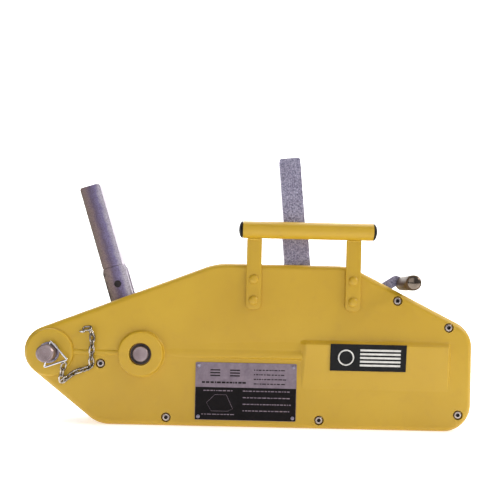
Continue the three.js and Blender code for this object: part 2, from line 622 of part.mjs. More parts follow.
function makeReverseLever() {
  const { lean, top, step, lower, upper, half } = REVERSE;
  const low = lower / 2;
  const high = upper / 2;
  const outline = [[-13, 0], [13, 0], [low, 30], [low, step - 3], [high, step], [high, top - 2],
    [high - 2, top], [2 - high, top], [-high, top - 2], [-high, step], [-low, step - 3], [-low, 30]];
  const bar = leaningBar(REVERSE_PIVOT, lean, outline, -half, half);
  const eye = cylinderY(15, -half - 4, half + 4, REVERSE_PIVOT.x, REVERSE_PIVOT.z, 24);
  const bore = cylinderY(REVERSE_PIVOT.shaft + GAP, -60, 60, REVERSE_PIVOT.x, REVERSE_PIVOT.z, 20);
  add('reverse_lever', cut(join(bar, eye), bore), zinc);
  const shaft = cylinderY(REVERSE_PIVOT.shaft, -30.5, 30.5, REVERSE_PIVOT.x, REVERSE_PIVOT.z, 20);
  add('reverse_shaft', shaft, steel);
}

// The release lever: a bent flat arm on its shaft with a cam, and a round grip across its end.
function makeReleaseLever() {
  const { bendX, bendZ, gripX, gripZ, half, front, back } = RELEASE;
  const pivot = RELEASE_PIVOT;
  const leg = (fromX, fromZ, toX, toZ) => {
    const length = Math.hypot(toX - fromX, toZ - fromZ);
    const lean = -Math.atan2(toX - fromX, toZ - fromZ);
    const outline = [[-half, 0], [half, 0], [half, length], [-half, length]];
    return leaningBar({ x: fromX, z: fromZ }, lean, outline, front, back);
  };
  const arm = join(
    cylinderY(11, front, back, pivot.x, pivot.z, 16), leg(pivot.x, pivot.z, bendX, bendZ),
    cylinderY(half, front, back, bendX, bendZ, 12), leg(bendX, bendZ, gripX, gripZ),
    cylinderY(8.5, front, back, gripX, gripZ, 16),
  );
  const bores = [
    cylinderY(pivot.shaft + GAP, -60, 60, pivot.x, pivot.z, 20),
    cylinderY(GRIP.stem + GAP, -60, 60, gripX, gripZ, 16),
  ];
  add('release_arm', cut(arm, ...bores), zinc);
  const gripFoot = front - GAP;
  const { tip, radius, neck, stem } = GRIP;
  const profile = [[0, tip], [3.5, tip + 0.8], [6.4, tip + 3], [8.4, tip + 6.5], [radius, tip + 11],
    [neck, -50], [neck, gripFoot - 3], [7, gripFoot], [stem, gripFoot], [stem, back + 1.5], [0, back + 1.5]];
  add('release_grip', turnedY(profile, gripX, gripZ, 20), chrome);
  add('release_shaft', cylinderY(pivot.shaft, -30.5, 30.5, pivot.x, pivot.z, 20), steel);
  const camHub = cylinderY(9, -10, 10, pivot.x, pivot.z, 16);
  const cam = join(camHub, cylinderY(7, -10, 10, pivot.x + 4, pivot.z - 3, 20));
  add('release_cam', cut(cam, cylinderY(pivot.shaft + GAP, -60, 60, pivot.x, pivot.z, 20)), steel);
}

// Two jaw carriages on the rope line, each a box frame with an upper and a lower jaw, and its rod.
function makeCarriages() {
  const { half, height, wall, length, first, second } = CARRIAGE;
  [['left', first, -1], ['right', second, 1]].forEach(([word, x0, side]) => {
    const x1 = x0 + length;
    const outer = box(x0, x1, -half, half, ROPE_Z - height, ROPE_Z + height);
    const innerHeight = height - wall;
    const inner = box(x0 - 1, x1 + 1, wall - half, half - wall, ROPE_Z - innerHeight, ROPE_Z + innerHeight);
    const pin = crankPin(side);
    const boltX = x0 + 14;
    const boltZ = ROPE_Z - side * 12;
    const [padLow, padHigh] = span(side, half - 1, ROD.inner - GAP);
    const pad = cylinderY(8, padLow, padHigh, boltX, boltZ, 16);
    const boltHole = cylinderY(ROD_BOLT.radius + GAP, ...span(side, half - wall - 0.5, 60), boltX, boltZ, 16);
    add(`${word}_jaw_carriage`, cut(join(outer, pad), inner, boltHole), steel);
    const seat = ROPE_RADIUS + 0.4;
    [['upper', 1], ['lower', -1]].forEach(([level, up]) => {
      const near = up * seat;
      const far = up * (seat + JAW.thick - 0.4);
      const [low, high] = [near, far].sort((a, b) => a - b);
      const jaw = box(
        x0 + JAW.inset, x1 - JAW.inset, -JAW.half, JAW.half, ROPE_Z + low, ROPE_Z + high,
      );
      const groove = cylinderX(ROPE_RADIUS + 0.2, x0 - 5, x1 + 5, 0, ROPE_Z + up * 2.2, 20);
      add(`${word}_${level}_jaw`, cut(jaw, groove), darkSteel);
    });
    const [rodLow, rodHigh] = span(side, ROD.inner, ROD.outer);
    const eyeLow = HUB.shaft + 1.6;
    const up = -side;
    const [eyeBottom, eyeTop] = [HUB.z + up * eyeLow, pin.z + up * 13].sort((a, b) => a - b);
    const eye = box(pin.x - 12, pin.x + 12, rodLow, rodHigh, eyeBottom, eyeTop);
    const bar = prismY(polygon([
      [pin.x + 2, eyeBottom], [boltX, boltZ - ROD.half], [boltX, boltZ + ROD.half], [pin.x + 2, eyeTop],
    ]), rodLow, rodHigh);
    const end = cylinderY(10, rodLow, rodHigh, boltX, boltZ, 16);
    const slack = CRANK_PIN + 0.8;
    const slotEnds = [pin.z - up * (slack + 4.2), pin.z + up * (slack + 0.6)];
    const [slotLow, slotHigh] = slotEnds.sort((a, b) => a - b);
    const slot = box(pin.x - slack, pin.x + slack, -60, 60, slotLow, slotHigh);
    const rodBore = cylinderY(ROD_BOLT.radius + GAP, -60, 60, boltX, boltZ, 16);
    add(`${word}_drive_rod`, cut(join(eye, bar, end), slot, rodBore), steel);
    const bolt = join(
      cylinderY(ROD_BOLT.radius, ...span(side, half - wall + 0.5, ROD.outer + 1), boltX, boltZ, 16),
      cylinderY(ROD_BOLT.head, ...span(side, ROD.outer + GAP, ROD.outer + 3), boltX, boltZ, 6),
    );
    add(`${word}_rod_bolt`, bolt, darkSteel);
  });
}

// The bush that leads the rope in, held by a flange inside the wall.
function makeRopeGuide() {
  const bush = join(
    cylinderX(GUIDE.radius, GUIDE.left, BODY_RIGHT + GUIDE.proud, 0, ROPE_Z, 20),
    cylinderX(GUIDE.flange, GUIDE.flangeLeft, BODY_RIGHT - WALL - 1, 0, ROPE_Z, 20),
  );
  add('rope_guide', cut(bush, cylinderX(ROPE_RADIUS + 1.5, 0, FAR, 0, ROPE_Z, 16)), paint);
}

makeCovers();
makeScrews();
makeHandle();
makePlates();
makeAnchor();
makeCrank();
makeForwardLever();
makeReverseLever();
makeReleaseLever();
makeCarriages();
makeRopeGuide();

export default puller;
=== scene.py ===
"""Lever-operated wire rope puller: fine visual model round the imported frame, in metres."""
import json
import math
import random

import bmesh
import bpy
from mathutils import Matrix, Vector


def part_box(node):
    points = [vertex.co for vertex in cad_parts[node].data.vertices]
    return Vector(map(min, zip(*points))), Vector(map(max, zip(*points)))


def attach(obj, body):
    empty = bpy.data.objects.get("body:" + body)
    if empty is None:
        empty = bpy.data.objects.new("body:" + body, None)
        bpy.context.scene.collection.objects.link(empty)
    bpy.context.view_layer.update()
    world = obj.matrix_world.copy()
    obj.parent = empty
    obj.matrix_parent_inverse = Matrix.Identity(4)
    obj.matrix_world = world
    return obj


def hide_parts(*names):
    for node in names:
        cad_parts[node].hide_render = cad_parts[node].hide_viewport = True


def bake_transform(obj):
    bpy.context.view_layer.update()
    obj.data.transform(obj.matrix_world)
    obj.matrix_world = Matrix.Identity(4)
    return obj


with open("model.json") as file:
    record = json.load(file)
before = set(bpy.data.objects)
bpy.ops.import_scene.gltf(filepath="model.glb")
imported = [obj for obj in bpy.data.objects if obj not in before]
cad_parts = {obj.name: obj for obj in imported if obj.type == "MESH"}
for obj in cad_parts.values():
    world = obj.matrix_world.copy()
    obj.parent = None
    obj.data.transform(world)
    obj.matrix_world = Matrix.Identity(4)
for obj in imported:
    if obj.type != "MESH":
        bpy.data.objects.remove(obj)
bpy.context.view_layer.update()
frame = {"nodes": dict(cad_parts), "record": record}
random.seed(11)

MM = 0.001


# ---------------------------------------------------------------- places taken from the frame
def centre(node):
    low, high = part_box(node)
    return [(a + b) / 2 / MM for a, b in zip(low, high)]


def corners_of(node):
    low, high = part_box(node)
    return [a / MM for a in low], [b / MM for b in high]


case_low, case_high = corners_of("front_cover")
hub_x, _, hub_z = centre("front_shaft_bush")
pin_x, _, pin_z = centre("anchor_washer")
screws = [centre(f"cover_screw_{i + 1}") for i in range(6)]
SEAM = 6.0
GAP = 0.15
FACE = 33.0
WALL = 5.0
EDGE_ROUND = 7.0
NOSE_RADIUS = 31.0
ROPE_Z = hub_z


# ---------------------------------------------------------------- mesh building
def finish_mesh(name, bm, body, smooth=34):
    """Turns a bmesh in millimetres into an object in metres that rides on a body."""
    bmesh.ops.recalc_face_normals(bm, faces=bm.faces)
    bmesh.ops.scale(bm, vec=(MM, MM, MM), verts=bm.verts)
    mesh = bpy.data.meshes.new(name)
    bm.to_mesh(mesh)
    bm.free()
    piece = bpy.data.objects.new(name, mesh)
    bpy.context.scene.collection.objects.link(piece)
    shade(piece, smooth)
    if body:
        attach(piece, body)
    return piece


def shade(piece, angle=34):
    mesh = piece.data
    mesh.polygons.foreach_set("use_smooth", [True] * len(mesh.polygons))
    mesh.set_sharp_from_angle(angle=math.radians(angle))


def ring_loft(bm, rings, close_start=True, close_end=True):
    """Joins rings of equal length with quads and caps the two ends."""
    made = [[bm.verts.new(p) for p in ring] for ring in rings]
    for lower, upper in zip(made, made[1:]):
        count = len(lower)
        for i in range(count):
            j = (i + 1) % count
            bm.faces.new((lower[i], lower[j], upper[j], upper[i]))
    if close_start:
        bm.faces.new(list(reversed(made[0])))
    if close_end:
        bm.faces.new(made[-1])
    return made


def rounded_outline(corners, inset=0.0, steps=10):
    """Points round a convex outline given counter-clockwise as (x, z, radius)."""
    count = len(corners)
    directions = []
    for i, (x, z, _) in enumerate(corners):
        nx, nz, _ = corners[(i + 1) % count]
        directions.append(Vector((nx - x, nz - z)).normalized())
    points = []
    for i, (x, z, radius) in enumerate(corners):
        before, after = directions[i - 1], directions[i]
        turn = math.acos(max(-1.0, min(1.0, before.dot(after))))
        inward = (after - before).normalized()
        vertex = Vector((x, z)) + inward * inset / math.cos(turn / 2)
        arc = max(radius - inset, 0.6)
        middle = vertex + inward * arc / math.cos(turn / 2)
        start = math.atan2(-before.x, before.y)
        for k in range(steps + 1):
            angle = start + turn * k / steps
            points.append((middle.x + arc * math.cos(angle), middle.y + arc * math.sin(angle)))
    return points


def casing_corners():
    """The case outline, from the same driving dimensions as the frame."""
    nose = Vector((case_low[0] + NOSE_RADIUS, ROPE_Z + 0.5))
    right, top = case_high[0], case_high[2]
    rise, fall, sweep = math.radians(21.2), math.radians(26.7), math.radians(38.4)
    upper = Vector((-math.sin(rise), math.cos(rise)))
    lower = Vector((-math.sin(sweep), -math.cos(sweep)))
    upper_reach, lower_reach = upper.dot(nose) + NOSE_RADIUS, lower.dot(nose) + NOSE_RADIUS
    cross = upper.x * lower.y - upper.y * lower.x
    tip = ((upper_reach * lower.y - lower_reach * upper.y) / cross,
           (upper.x * lower_reach - lower.x * upper_reach) / cross)
    return [
        (tip[0], tip[1], NOSE_RADIUS), (lower_reach / lower.x, 0, 40), (right, 0, 33),
        (right, top - (right - 124) * math.tan(fall), 34), (124, top, 60),
        ((upper_reach - upper.y * top) / upper.x, top, 80),
    ]


def prism(outline, y0, y1, edge=0.0, segments=4, edge_both=False):
    """A solid from an X-Z outline between y0 and y1, with a rounded rim at y0 (and y1 if edge_both)."""
    bm = bmesh.new()
    rings = []
    rim = [(0.0, 0.0)]
    if edge:
        turns = [math.pi / 2 * k / segments for k in range(segments + 1)]
        rim = [(edge * (1 - math.sin(a)), edge * (1 - math.cos(a))) for a in turns]
    near = [(inset, y0 + depth) for inset, depth in rim]
    rings += [[(x, y, z) for x, z in outline(inset)] for inset, y in near]
    far = [(inset, y1 - depth) for inset, depth in reversed(rim)] if edge_both else [(0.0, y1)]
    rings += [[(x, y, z) for x, z in outline(inset)] for inset, y in far]
    ring_loft(bm, rings)
    return bm


def fixed(points):
    """An outline that ignores its inset."""
    return lambda inset: points


def lathe(profile, x=0.0, z=0.0, sides=64, axis="Y", y=0.0):
    """Turns a closed profile of (radius, along) about an axis; points on the axis become one vertex."""
    bm = bmesh.new()
    rings = []
    for radius, along in profile:
        if radius < 1e-6:
            rings.append([bm.verts.new((0, along, 0))])
            continue
        rings.append([bm.verts.new((radius * math.cos(2 * math.pi * k / sides), along,
                                    radius * math.sin(2 * math.pi * k / sides))) for k in range(sides)])
    closed = profile[0][0] > 1e-6 or profile[-1][0] > 1e-6
    pairs = list(zip(rings, rings[1:])) + ([(rings[-1], rings[0])] if closed else [])
    for a, b in pairs:
        for k in range(sides):
            n = (k + 1) % sides
            loop = [a[k % len(a)], a[n % len(a)], b[n % len(b)], b[k % len(b)]]
            loop = list(dict.fromkeys(loop))
            if len(loop) > 2:
                bm.faces.new(loop)
    if axis == "X":
        bmesh.ops.rotate(bm, verts=bm.verts, matrix=Matrix.Rotation(-math.pi / 2, 3, "Z"))
    bmesh.ops.translate(bm, verts=bm.verts, vec=(x, y, z))
    return bm


def arc_points(centre_r, centre_y, radius, start, end, steps=5):
    """Points of a rounded edge in a lathe profile, angles in degrees."""
    return [(centre_r + radius * math.cos(math.radians(start + (end - start) * k / steps)),
             centre_y + radius * math.sin(math.radians(start + (end - start) * k / steps)))
            for k in range(steps + 1)]


def tube(points, radius, sides=12, ends=True, closed=False):
    """A round wire along points."""
    bm = bmesh.new()
    pts = [Vector(p) for p in points]
    count = len(pts)
    tangents = []
    for i in range(count):
        a = pts[i - 1] if (closed or i > 0) else pts[i]
        b = pts[(i + 1) % count] if (closed or i < count - 1) else pts[i]
        tangents.append((b - a).normalized())
    normal = tangents[0].orthogonal().normalized()
    rings = []
    for i in range(count):
        normal = (normal - tangents[i] * normal.dot(tangents[i])).normalized()
        side = tangents[i].cross(normal)
        rings.append([bm.verts.new(pts[i] + (normal * math.cos(2 * math.pi * k / sides)
                                             + side * math.sin(2 * math.pi * k / sides)) * radius)
                      for k in range(sides)])
    pairs = list(zip(rings, rings[1:]))
    if closed:
        shift = min(range(sides), key=lambda s: (rings[-1][0].co - rings[0][s].co).length)
        pairs.append((rings[-1], rings[0][shift:] + rings[0][:shift]))
    for a, b in pairs:
        for k in range(sides):
            bm.faces.new((a[k], a[(k + 1) % sides], b[(k + 1) % sides], b[k]))
    if ends and not closed:
        bm.faces.new(list(reversed(rings[0])))
        bm.faces.new(rings[-1])
    return bm


def merge(*parts):
    """Several closed shells in one bmesh."""
    whole = bmesh.new()
    for part in parts:
        part.normal_update()
        mesh = bpy.data.meshes.new("part")
        part.to_mesh(mesh)
        part.free()
        whole.from_mesh(mesh)
        bpy.data.meshes.remove(mesh)
    return whole


def boolean(base, tools, operation):
    """Applies exact booleans between bmeshes in millimetres and returns the result."""
    def as_object(bm, name):
        bmesh.ops.recalc_face_normals(bm, faces=bm.faces)
        mesh = bpy.data.meshes.new(name)
        bm.to_mesh(mesh)
        bm.free()
        obj = bpy.data.objects.new(name, mesh)
        bpy.context.scene.collection.objects.link(obj)
        return obj

    target = as_object(base, "target")
    for bm in tools:
        tool = as_object(bm, "tool")
        modifier = target.modifiers.new("cut", "BOOLEAN")
        modifier.operation, modifier.object, modifier.solver = operation, tool, "EXACT"
        graph = bpy.context.evaluated_depsgraph_get()
        result = bpy.data.meshes.new_from_object(target.evaluated_get(graph))
        target.modifiers.remove(modifier)
        old = target.data
        target.data = result
        bpy.data.meshes.remove(old)
        bpy.data.objects.remove(tool)
    whole = bmesh.new()
    whole.from_mesh(target.data)
    bpy.data.objects.remove(target)
    return whole


def round_edges(piece, width, segments=3, angle=32, weld=False):
    """Rounds a piece's sharp edges; weld first joins the split vertices of an imported node."""
    if weld:
        joiner = piece.modifiers.new("weld", "WELD")
        joiner.merge_threshold = 1e-6
    bevel = piece.modifiers.new("bevel", "BEVEL")
    bevel.width, bevel.segments, bevel.limit_method = width * MM, segments, "ANGLE"
    bevel.angle_limit = math.radians(angle)
    bevel.harden_normals = False
    if weld:
        shade(piece, 40)
    normals = piece.modifiers.new("normals", "WEIGHTED_NORMAL")
    normals.keep_sharp = True


# ---------------------------------------------------------------- camera
def make_camera():
    """Square to the front cover, a little above its middle."""
    data = bpy.data.cameras.new("camera")
    data.sensor_width = 36
    data.lens = 44.3
    data.shift_x, data.shift_y = -0.006, 0.088
    data.clip_end = 20
    camera = bpy.data.objects.new("camera", data)
    bpy.context.scene.collection.objects.link(camera)
    distance, axis_x, axis_z, roll = 750, 6.3, 163.6, 1.25
    camera.location = (axis_x * MM, -(FACE + distance) * MM, axis_z * MM)
    camera.rotation_euler = (math.radians(90), math.radians(-roll), 0)
    bpy.context.scene.camera = camera


make_camera()


# ---------------------------------------------------------------- covers
PANEL = {"left": 68.0, "right": 246.6, "top": 110.0, "crest": 104.0, "foot": 45.5, "proud": 6.4}


def smooth(edge0, edge1, value):
    t = max(0.0, min(1.0, (value - edge0) / (edge1 - edge0)))
    return t * t * (3 - 2 * t)


def panel_height(x, z):
    """The raised panel: bevelled top edge, sides that narrow as the slope runs out at its foot."""
    slope = max(0.0, min(1.0, (z - PANEL["foot"]) / (PANEL["crest"] - PANEL["foot"])))
    if slope <= 0:
        return 0.0
    left_half, right_half = 0.8 + 4.2 * slope, 0.5 + 1.3 * slope
    left = smooth(PANEL["left"] - left_half, PANEL["left"] + left_half, x)
    right = 1 - smooth(PANEL["right"] - right_half, PANEL["right"] + right_half, x)
    top = 1 - smooth(PANEL["crest"] - 0.5, PANEL["top"], z)
    return PANEL["proud"] * slope * left * right * top


def rib_height(x, z):
    """The rib on the rope line: even between the two pads, growing from the hub towards the panel."""
    rel = z - ROPE_Z
    if x < hub_x:
        return 1.7 * smooth(4.6, 1.4, rel) * smooth(-3.0, -1.2, rel)
    growth = max(0.0, min(1.0, (x - hub_x - 26) / (PANEL["left"] - hub_x - 26)))
    swell = 0.45 * (1 - smooth(0.0, 24.0, rel)) + 0.55 * (1 - smooth(1.0, 8.0, rel))
    under = smooth(-4.2, -1.4, rel)
    fade = 1 - smooth(PANEL["left"] - 2, PANEL["left"] + 6, x)
    return (0.5 + 3.1 * growth) * swell * under * fade


def spaced(stops):
    """Grid lines from (value, step) stops: each stretch is divided by its own step."""
    lines = []
    for (start, step), (end, _) in zip(stops, stops[1:]):
        count = max(1, round((end - start) / step))
        lines += [start + (end - start) * i / count for i in range(count)]
    return lines + [stops[-1][0]]


def relief():
    """The cast relief of the front face as one closed solid that stands in the face."""
    xs = spaced([(pin_x + 26, 6), (hub_x - 24, 6), (hub_x + 24, 6), (58, 0.9),
                 (78, 10), (238, 0.5), (251, 1)])
    zs = spaced([(41.5, 3), (81.5, 0.5), (98.5, 2), (102, 0.5), (112.5, 1)])
    sink = 0.25
    bm = bmesh.new()
    front = [[bm.verts.new((x, -(FACE - sink + max(panel_height(x, z), rib_height(x, z))), z))
              for z in zs] for x in xs]
    back = [[bm.verts.new((x, -FACE + 1.5, z)) for z in zs] for x in xs]
    for grid, flip in ((front, False), (back, True)):
        for i in range(len(xs) - 1):
            for j in range(len(zs) - 1):
                loop = [grid[i][j], grid[i + 1][j], grid[i + 1][j + 1], grid[i][j + 1]]
                bm.faces.new(list(reversed(loop)) if flip else loop)
    rim = [(i, 0) for i in range(len(xs))] + [(len(xs) - 1, j) for j in range(1, len(zs))]
    rim += [(i, len(zs) - 1) for i in range(len(xs) - 2, -1, -1)]
    rim += [(0, j) for j in range(len(zs) - 2, 0, -1)]
    for (a, b), (c, d) in zip(rim, rim[1:] + rim[:1]):
        bm.faces.new((front[a][b], back[a][b], back[c][d], front[c][d]))
    return bm


def cover_shell(side):
    """A hollow half of the case with a rounded outer rim, open at the seam."""
    outline = casing_corners()
    seam = SEAM + side * GAP
    rings = []
    for k in range(7):
        angle = math.pi / 2 * k / 6
        inset = EDGE_ROUND * (1 - math.sin(angle))
        y = side * (FACE - EDGE_ROUND * (1 - math.cos(angle)))
        rings.append([(x, y, z) for x, z in rounded_outline(outline, inset)])
    rings.append([(x, seam + side * 0.5, z) for x, z in rounded_outline(outline, 0)])
    rings.append([(x, seam, z) for x, z in rounded_outline(outline, 0.5)])
    rings.append([(x, seam, z) for x, z in rounded_outline(outline, WALL)])
    rings.append([(x, side * (FACE - WALL - 2), z) for x, z in rounded_outline(outline, WALL)])
    rings.append([(x, side * (FACE - WALL), z) for x, z in rounded_outline(outline, WALL + 2)])
    bm = bmesh.new()
    ring_loft(bm, rings)
    return bm


def fan(pivot, start, end, half, near, far, y0, y1):
    """The space that a lever sweeps through the case edge, angles from upright in degrees."""
    def point(angle, along, off):
        s, c = math.sin(math.radians(angle)), math.cos(math.radians(angle))
        return (pivot[0] + s * along + c * off, pivot[1] + c * along - s * off)
    points = [point(start, near, -half), point(start, far, -half)]
    points += [point(start + (end - start) * i / 6, far, 0) for i in range(1, 6)]
    points += [point(end, far, half), point(end, near, half)]
    points.reverse()
    return prism(fixed(points), y0, y1)


def rounded_box(x0, x1, y0, y1, z0, z1, radius=6.0):
    """A box whose edges along Y are rounded."""
    outline = rounded_outline([(x0, z0, radius), (x1, z0, radius), (x1, z1, radius), (x0, z1, radius)], 0, 6)
    return prism(fixed(outline), y0, y1)


def disc(x, z, radius, y0, y1, sides=40):
    return lathe([(0, y0), (radius, y0), (radius, y1), (0, y1)], x, z, sides)


def pad(x, z, radius, top, side, hole=None, foot=2.2):
    """A raised round pad with a rounded rim, and a hollow fillet at its foot where foot is set."""
    rim = 2.6
    profile = [(0, top)] + arc_points(radius - rim, top - rim, rim, 90, 0)
    if foot:
        profile += arc_points(radius + foot, FACE - 0.05 + foot, foot, 180, 270, 4)
    profile += [(profile[-1][0], FACE - 2.5), (0, FACE - 2.5)]
    profile = [(r, side * y) for r, y in profile]
    return lathe(profile, x, z, 72)


# Where the release arm bends above its shaft at rest, and how far the lever turns from there.
RELEASE_BEND = (33.6, 21.5)
RELEASE_REST = math.degrees(math.atan2(*RELEASE_BEND))
RELEASE_TRAVEL = 40


def make_cover(side, name):
    cover = cover_shell(side)
    bosses = [disc(x, z, 8, *sorted((side * (FACE - WALL + 0.5), SEAM + side * GAP)), 32)
              for x, _, z in screws]
    for node, radius, near in (("front_shaft_bush", 20, 26), ("reverse_shaft", 11, 21),
                               ("release_shaft", 9, 22), ("anchor_pin", 17, 25)):
        x, _, z = centre(node)
        bosses.append(disc(x, z, radius, *sorted((side * near, side * (FACE - WALL + 0.5)))))
    pads = [pad(hub_x, hub_z, 27.5, 41, side), pad(pin_x, pin_z, 29, 37, side, foot=0)]
    added = pads + bosses
    if side < 0:
        added.append(relief())
    reverse, release = centre("reverse_shaft"), centre("release_shaft")
    away = [
        rounded_box(-400, -212, -24, 24, 21, 162, 2), rounded_box(-236, -196, -14, 14, -8, 45, 5),
        fan((hub_x, hub_z), -46.3, 27.7, 19.8, 50, 150, -13, 13),
        fan((reverse[0], reverse[2]), -25.35, 14.65, 19.2, 45, 100, -12, 12),
        fan((release[0], release[2]), RELEASE_REST - RELEASE_TRAVEL, RELEASE_REST, 8, 14, 60, -21, -12),
    ]
    cover = boolean(cover, away, "DIFFERENCE")
    cover = boolean(cover, added, "UNION")
    holes = [disc(hub_x, hub_z, 13.8, -60, 60), disc(pin_x, pin_z, 10.8, -60, 60),
             lathe([(0, 240), (13.3, 240), (13.3, 300), (0, 300)], 0, ROPE_Z, 40, "X")]
    for x, _, z in screws:
        holes.append(disc(x, z, 2.8, -60, 60, 20))
        floor = (-60, -FACE + 5.5) if side < 0 else (FACE - 5, 60)
        holes.append(disc(x, z, 6, *floor, 36))
    if side < 0:
        rivets = [centre(f"strap_rivet_{k + 1}") for k in range(4)]
        holes += [disc(x, z, 3.8, -60, -20, 20) for x, _, z in rivets]
    holes += [disc(centre(node)[0], centre(node)[2], r, -31, 31, 24)
              for node, r in (("reverse_shaft", 6.3), ("release_shaft", 5.3))]
    cover = boolean(cover, holes, "DIFFERENCE")
    bmesh.ops.remove_doubles(cover, verts=cover.verts, dist=0.002)
    bmesh.ops.dissolve_degenerate(cover, edges=cover.edges, dist=0.002)
    piece = finish_mesh(name, cover, "case", 30)
    round_edges(piece, 0.5, 2, 38)
    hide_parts(name.replace("_casting", ""))
    return piece


# ---------------------------------------------------------------- materials
def linear(rgb):
    """sRGB bytes to linear colour with alpha."""
    values = [c / 255 for c in rgb]
    return tuple(v / 12.92 if v <= 0.04045 else ((v + 0.055) / 1.055) ** 2.4 for v in values) + (1.0,)


class Finish:
    """A node-built material: colour patterns, roughness variation, surface relief and lighter edges that are
    partly painted edge highlight and partly wear.
    """

    def __init__(self, name, metallic=0.0, coat=0.0, coat_roughness=0.2, ior=1.5):
        self.material = bpy.data.materials.new(name)
        self.material.use_nodes = True
        self.tree = self.material.node_tree
        self.shader = self.tree.nodes["Principled BSDF"]
        self.shader.inputs["Metallic"].default_value = metallic
        self.shader.inputs["IOR"].default_value = ior
        self.shader.inputs["Coat Weight"].default_value = coat
        self.shader.inputs["Coat Roughness"].default_value = coat_roughness
        self.coords = self.node("ShaderNodeTexCoord").outputs["Object"]
        self.colour = None
        self.normal = None

    def node(self, kind, **values):
        made = self.tree.nodes.new(kind)
        for key, value in values.items():
            if key in made.inputs:
                made.inputs[key].default_value = value
            else:
                setattr(made, key, value)
        return made

    def link(self, source, target):
        self.tree.links.new(source, target)

    def noise(self, scale, detail=4.0, roughness=0.5, stretch=None):
        texture = self.node("ShaderNodeTexNoise", Scale=scale, Detail=detail, Roughness=roughness)
        source = self.coords
        if stretch:
            mapping = self.node("ShaderNodeMapping")
            mapping.inputs["Scale"].default_value = stretch
            self.link(source, mapping.inputs["Vector"])
            source = mapping.outputs["Vector"]
        self.link(source, texture.inputs["Vector"])
        return texture.outputs["Fac"]

    def ramp(self, source, stops):
        ramp = self.node("ShaderNodeValToRGB")
        elements = ramp.color_ramp.elements
        for i, (position, colour) in enumerate(stops):
            element = elements[i] if i < 2 else elements.new(position)
            element.position, element.color = position, colour
        self.link(source, ramp.inputs["Fac"])
        return ramp.outputs["Color"]

    def base(self, source, stops):
        self.colour = self.ramp(source, stops)

    def overlay(self, mask, colour):
        """Lays a colour over the base where mask is high."""
        mix = self.node("ShaderNodeMix", data_type="RGBA")
        self.link(mask, mix.inputs["Factor"])
        self.link(self.colour, mix.inputs["A"])
        if isinstance(colour, tuple):
            mix.inputs["B"].default_value = colour
        else:
            self.link(colour, mix.inputs["B"])
        self.colour = mix.outputs["Result"]
        return mask

    def rough(self, source, low, high):
        mapped = self.node("ShaderNodeMapRange")
        mapped.inputs["To Min"].default_value = low
        mapped.inputs["To Max"].default_value = high
        self.link(source, mapped.inputs["Value"])
        self.link(mapped.outputs["Result"], self.shader.inputs["Roughness"])

    def relief(self, source, strength, distance):
        bump = self.node("ShaderNodeBump", Strength=strength, Distance=distance)
        self.link(source, bump.inputs["Height"])
        if self.normal:
            self.link(self.normal, bump.inputs["Normal"])
        self.normal = bump.outputs["Normal"]

    def edges(self, radius, low=0.02, high=0.16, breakup=400.0):
        """High along sharp edges, broken up by noise: the mask for lighter edges, partly painted highlight
        and partly wear.
        """
        bevel = self.node("ShaderNodeBevel", Radius=radius, samples=4)
        geometry = self.node("ShaderNodeNewGeometry")
        dot = self.node("ShaderNodeVectorMath", operation="DOT_PRODUCT")
        self.link(bevel.outputs["Normal"], dot.inputs[0])
        self.link(geometry.outputs["Normal"], dot.inputs[1])
        turn = self.node("ShaderNodeMath", operation="SUBTRACT")
        turn.inputs[0].default_value = 1.0
        self.link(dot.outputs["Value"], turn.inputs[1])
        spread = self.node("ShaderNodeMapRange")
        spread.inputs["From Min"].default_value = low
        spread.inputs["From Max"].default_value = high
        self.link(turn.outputs["Value"], spread.inputs["Value"])
        broken = self.node("ShaderNodeMath", operation="MULTIPLY")
        self.link(spread.outputs["Result"], broken.inputs[0])
        patches = self.ramp(self.noise(breakup, 3), [(0.35, (0, 0, 0, 1)), (0.62, (1, 1, 1, 1))])
        self.link(patches, broken.inputs[1])
        return broken.outputs["Value"]

    def done(self):
        if self.colour:
            self.link(self.colour, self.shader.inputs["Base Color"])
        if self.normal:
            self.link(self.normal, self.shader.inputs["Normal"])
        return self.material


def paint_material():
    f = Finish("yellow_paint", coat=0.12, coat_roughness=0.25)
    f.base(f.noise(9, 3), [(0.3, linear((190, 150, 24))), (0.7, linear((200, 161, 32)))])
    dust = f.ramp(f.noise(60, 6, 0.65), [(0.52, (0, 0, 0, 1)), (0.9, (0.35, 0.35, 0.35, 1))])
    f.overlay(dust, linear((176, 134, 40)))
    # Lighter edges: partly painted edge highlight, partly worn paint.
    f.overlay(f.edges(0.0012, 0.03, 0.3), linear((226, 196, 96)))
    f.rough(f.noise(140, 4), 0.36, 0.5)
    f.relief(f.noise(750, 2), 0.12, 0.0004)
    f.relief(f.noise(55, 3), 0.08, 0.0012)
    return f.done()


def zinc_material():
    """Galvanised steel: a fine blue-grey speckle over faint cloudy patches."""
    f = Finish("galvanised_zinc", metallic=0.8)
    f.base(f.noise(520, 5, 0.75), [(0.34, linear((92, 88, 108))), (0.5, linear((150, 145, 168))),
                                   (0.68, linear((204, 200, 222)))])
    clouds = f.ramp(f.noise(45, 4), [(0.4, (0, 0, 0, 1)), (0.75, (0.4, 0.4, 0.4, 1))])
    f.overlay(clouds, linear((112, 104, 122)))
    # Lighter edges: partly painted edge highlight, partly wear.
    f.overlay(f.edges(0.0012, 0.02, 0.2, 300), linear((206, 200, 206)))
    f.rough(f.noise(300, 5), 0.34, 0.6)
    f.relief(f.noise(620, 5, 0.7), 0.55, 0.0004)
    return f.done()


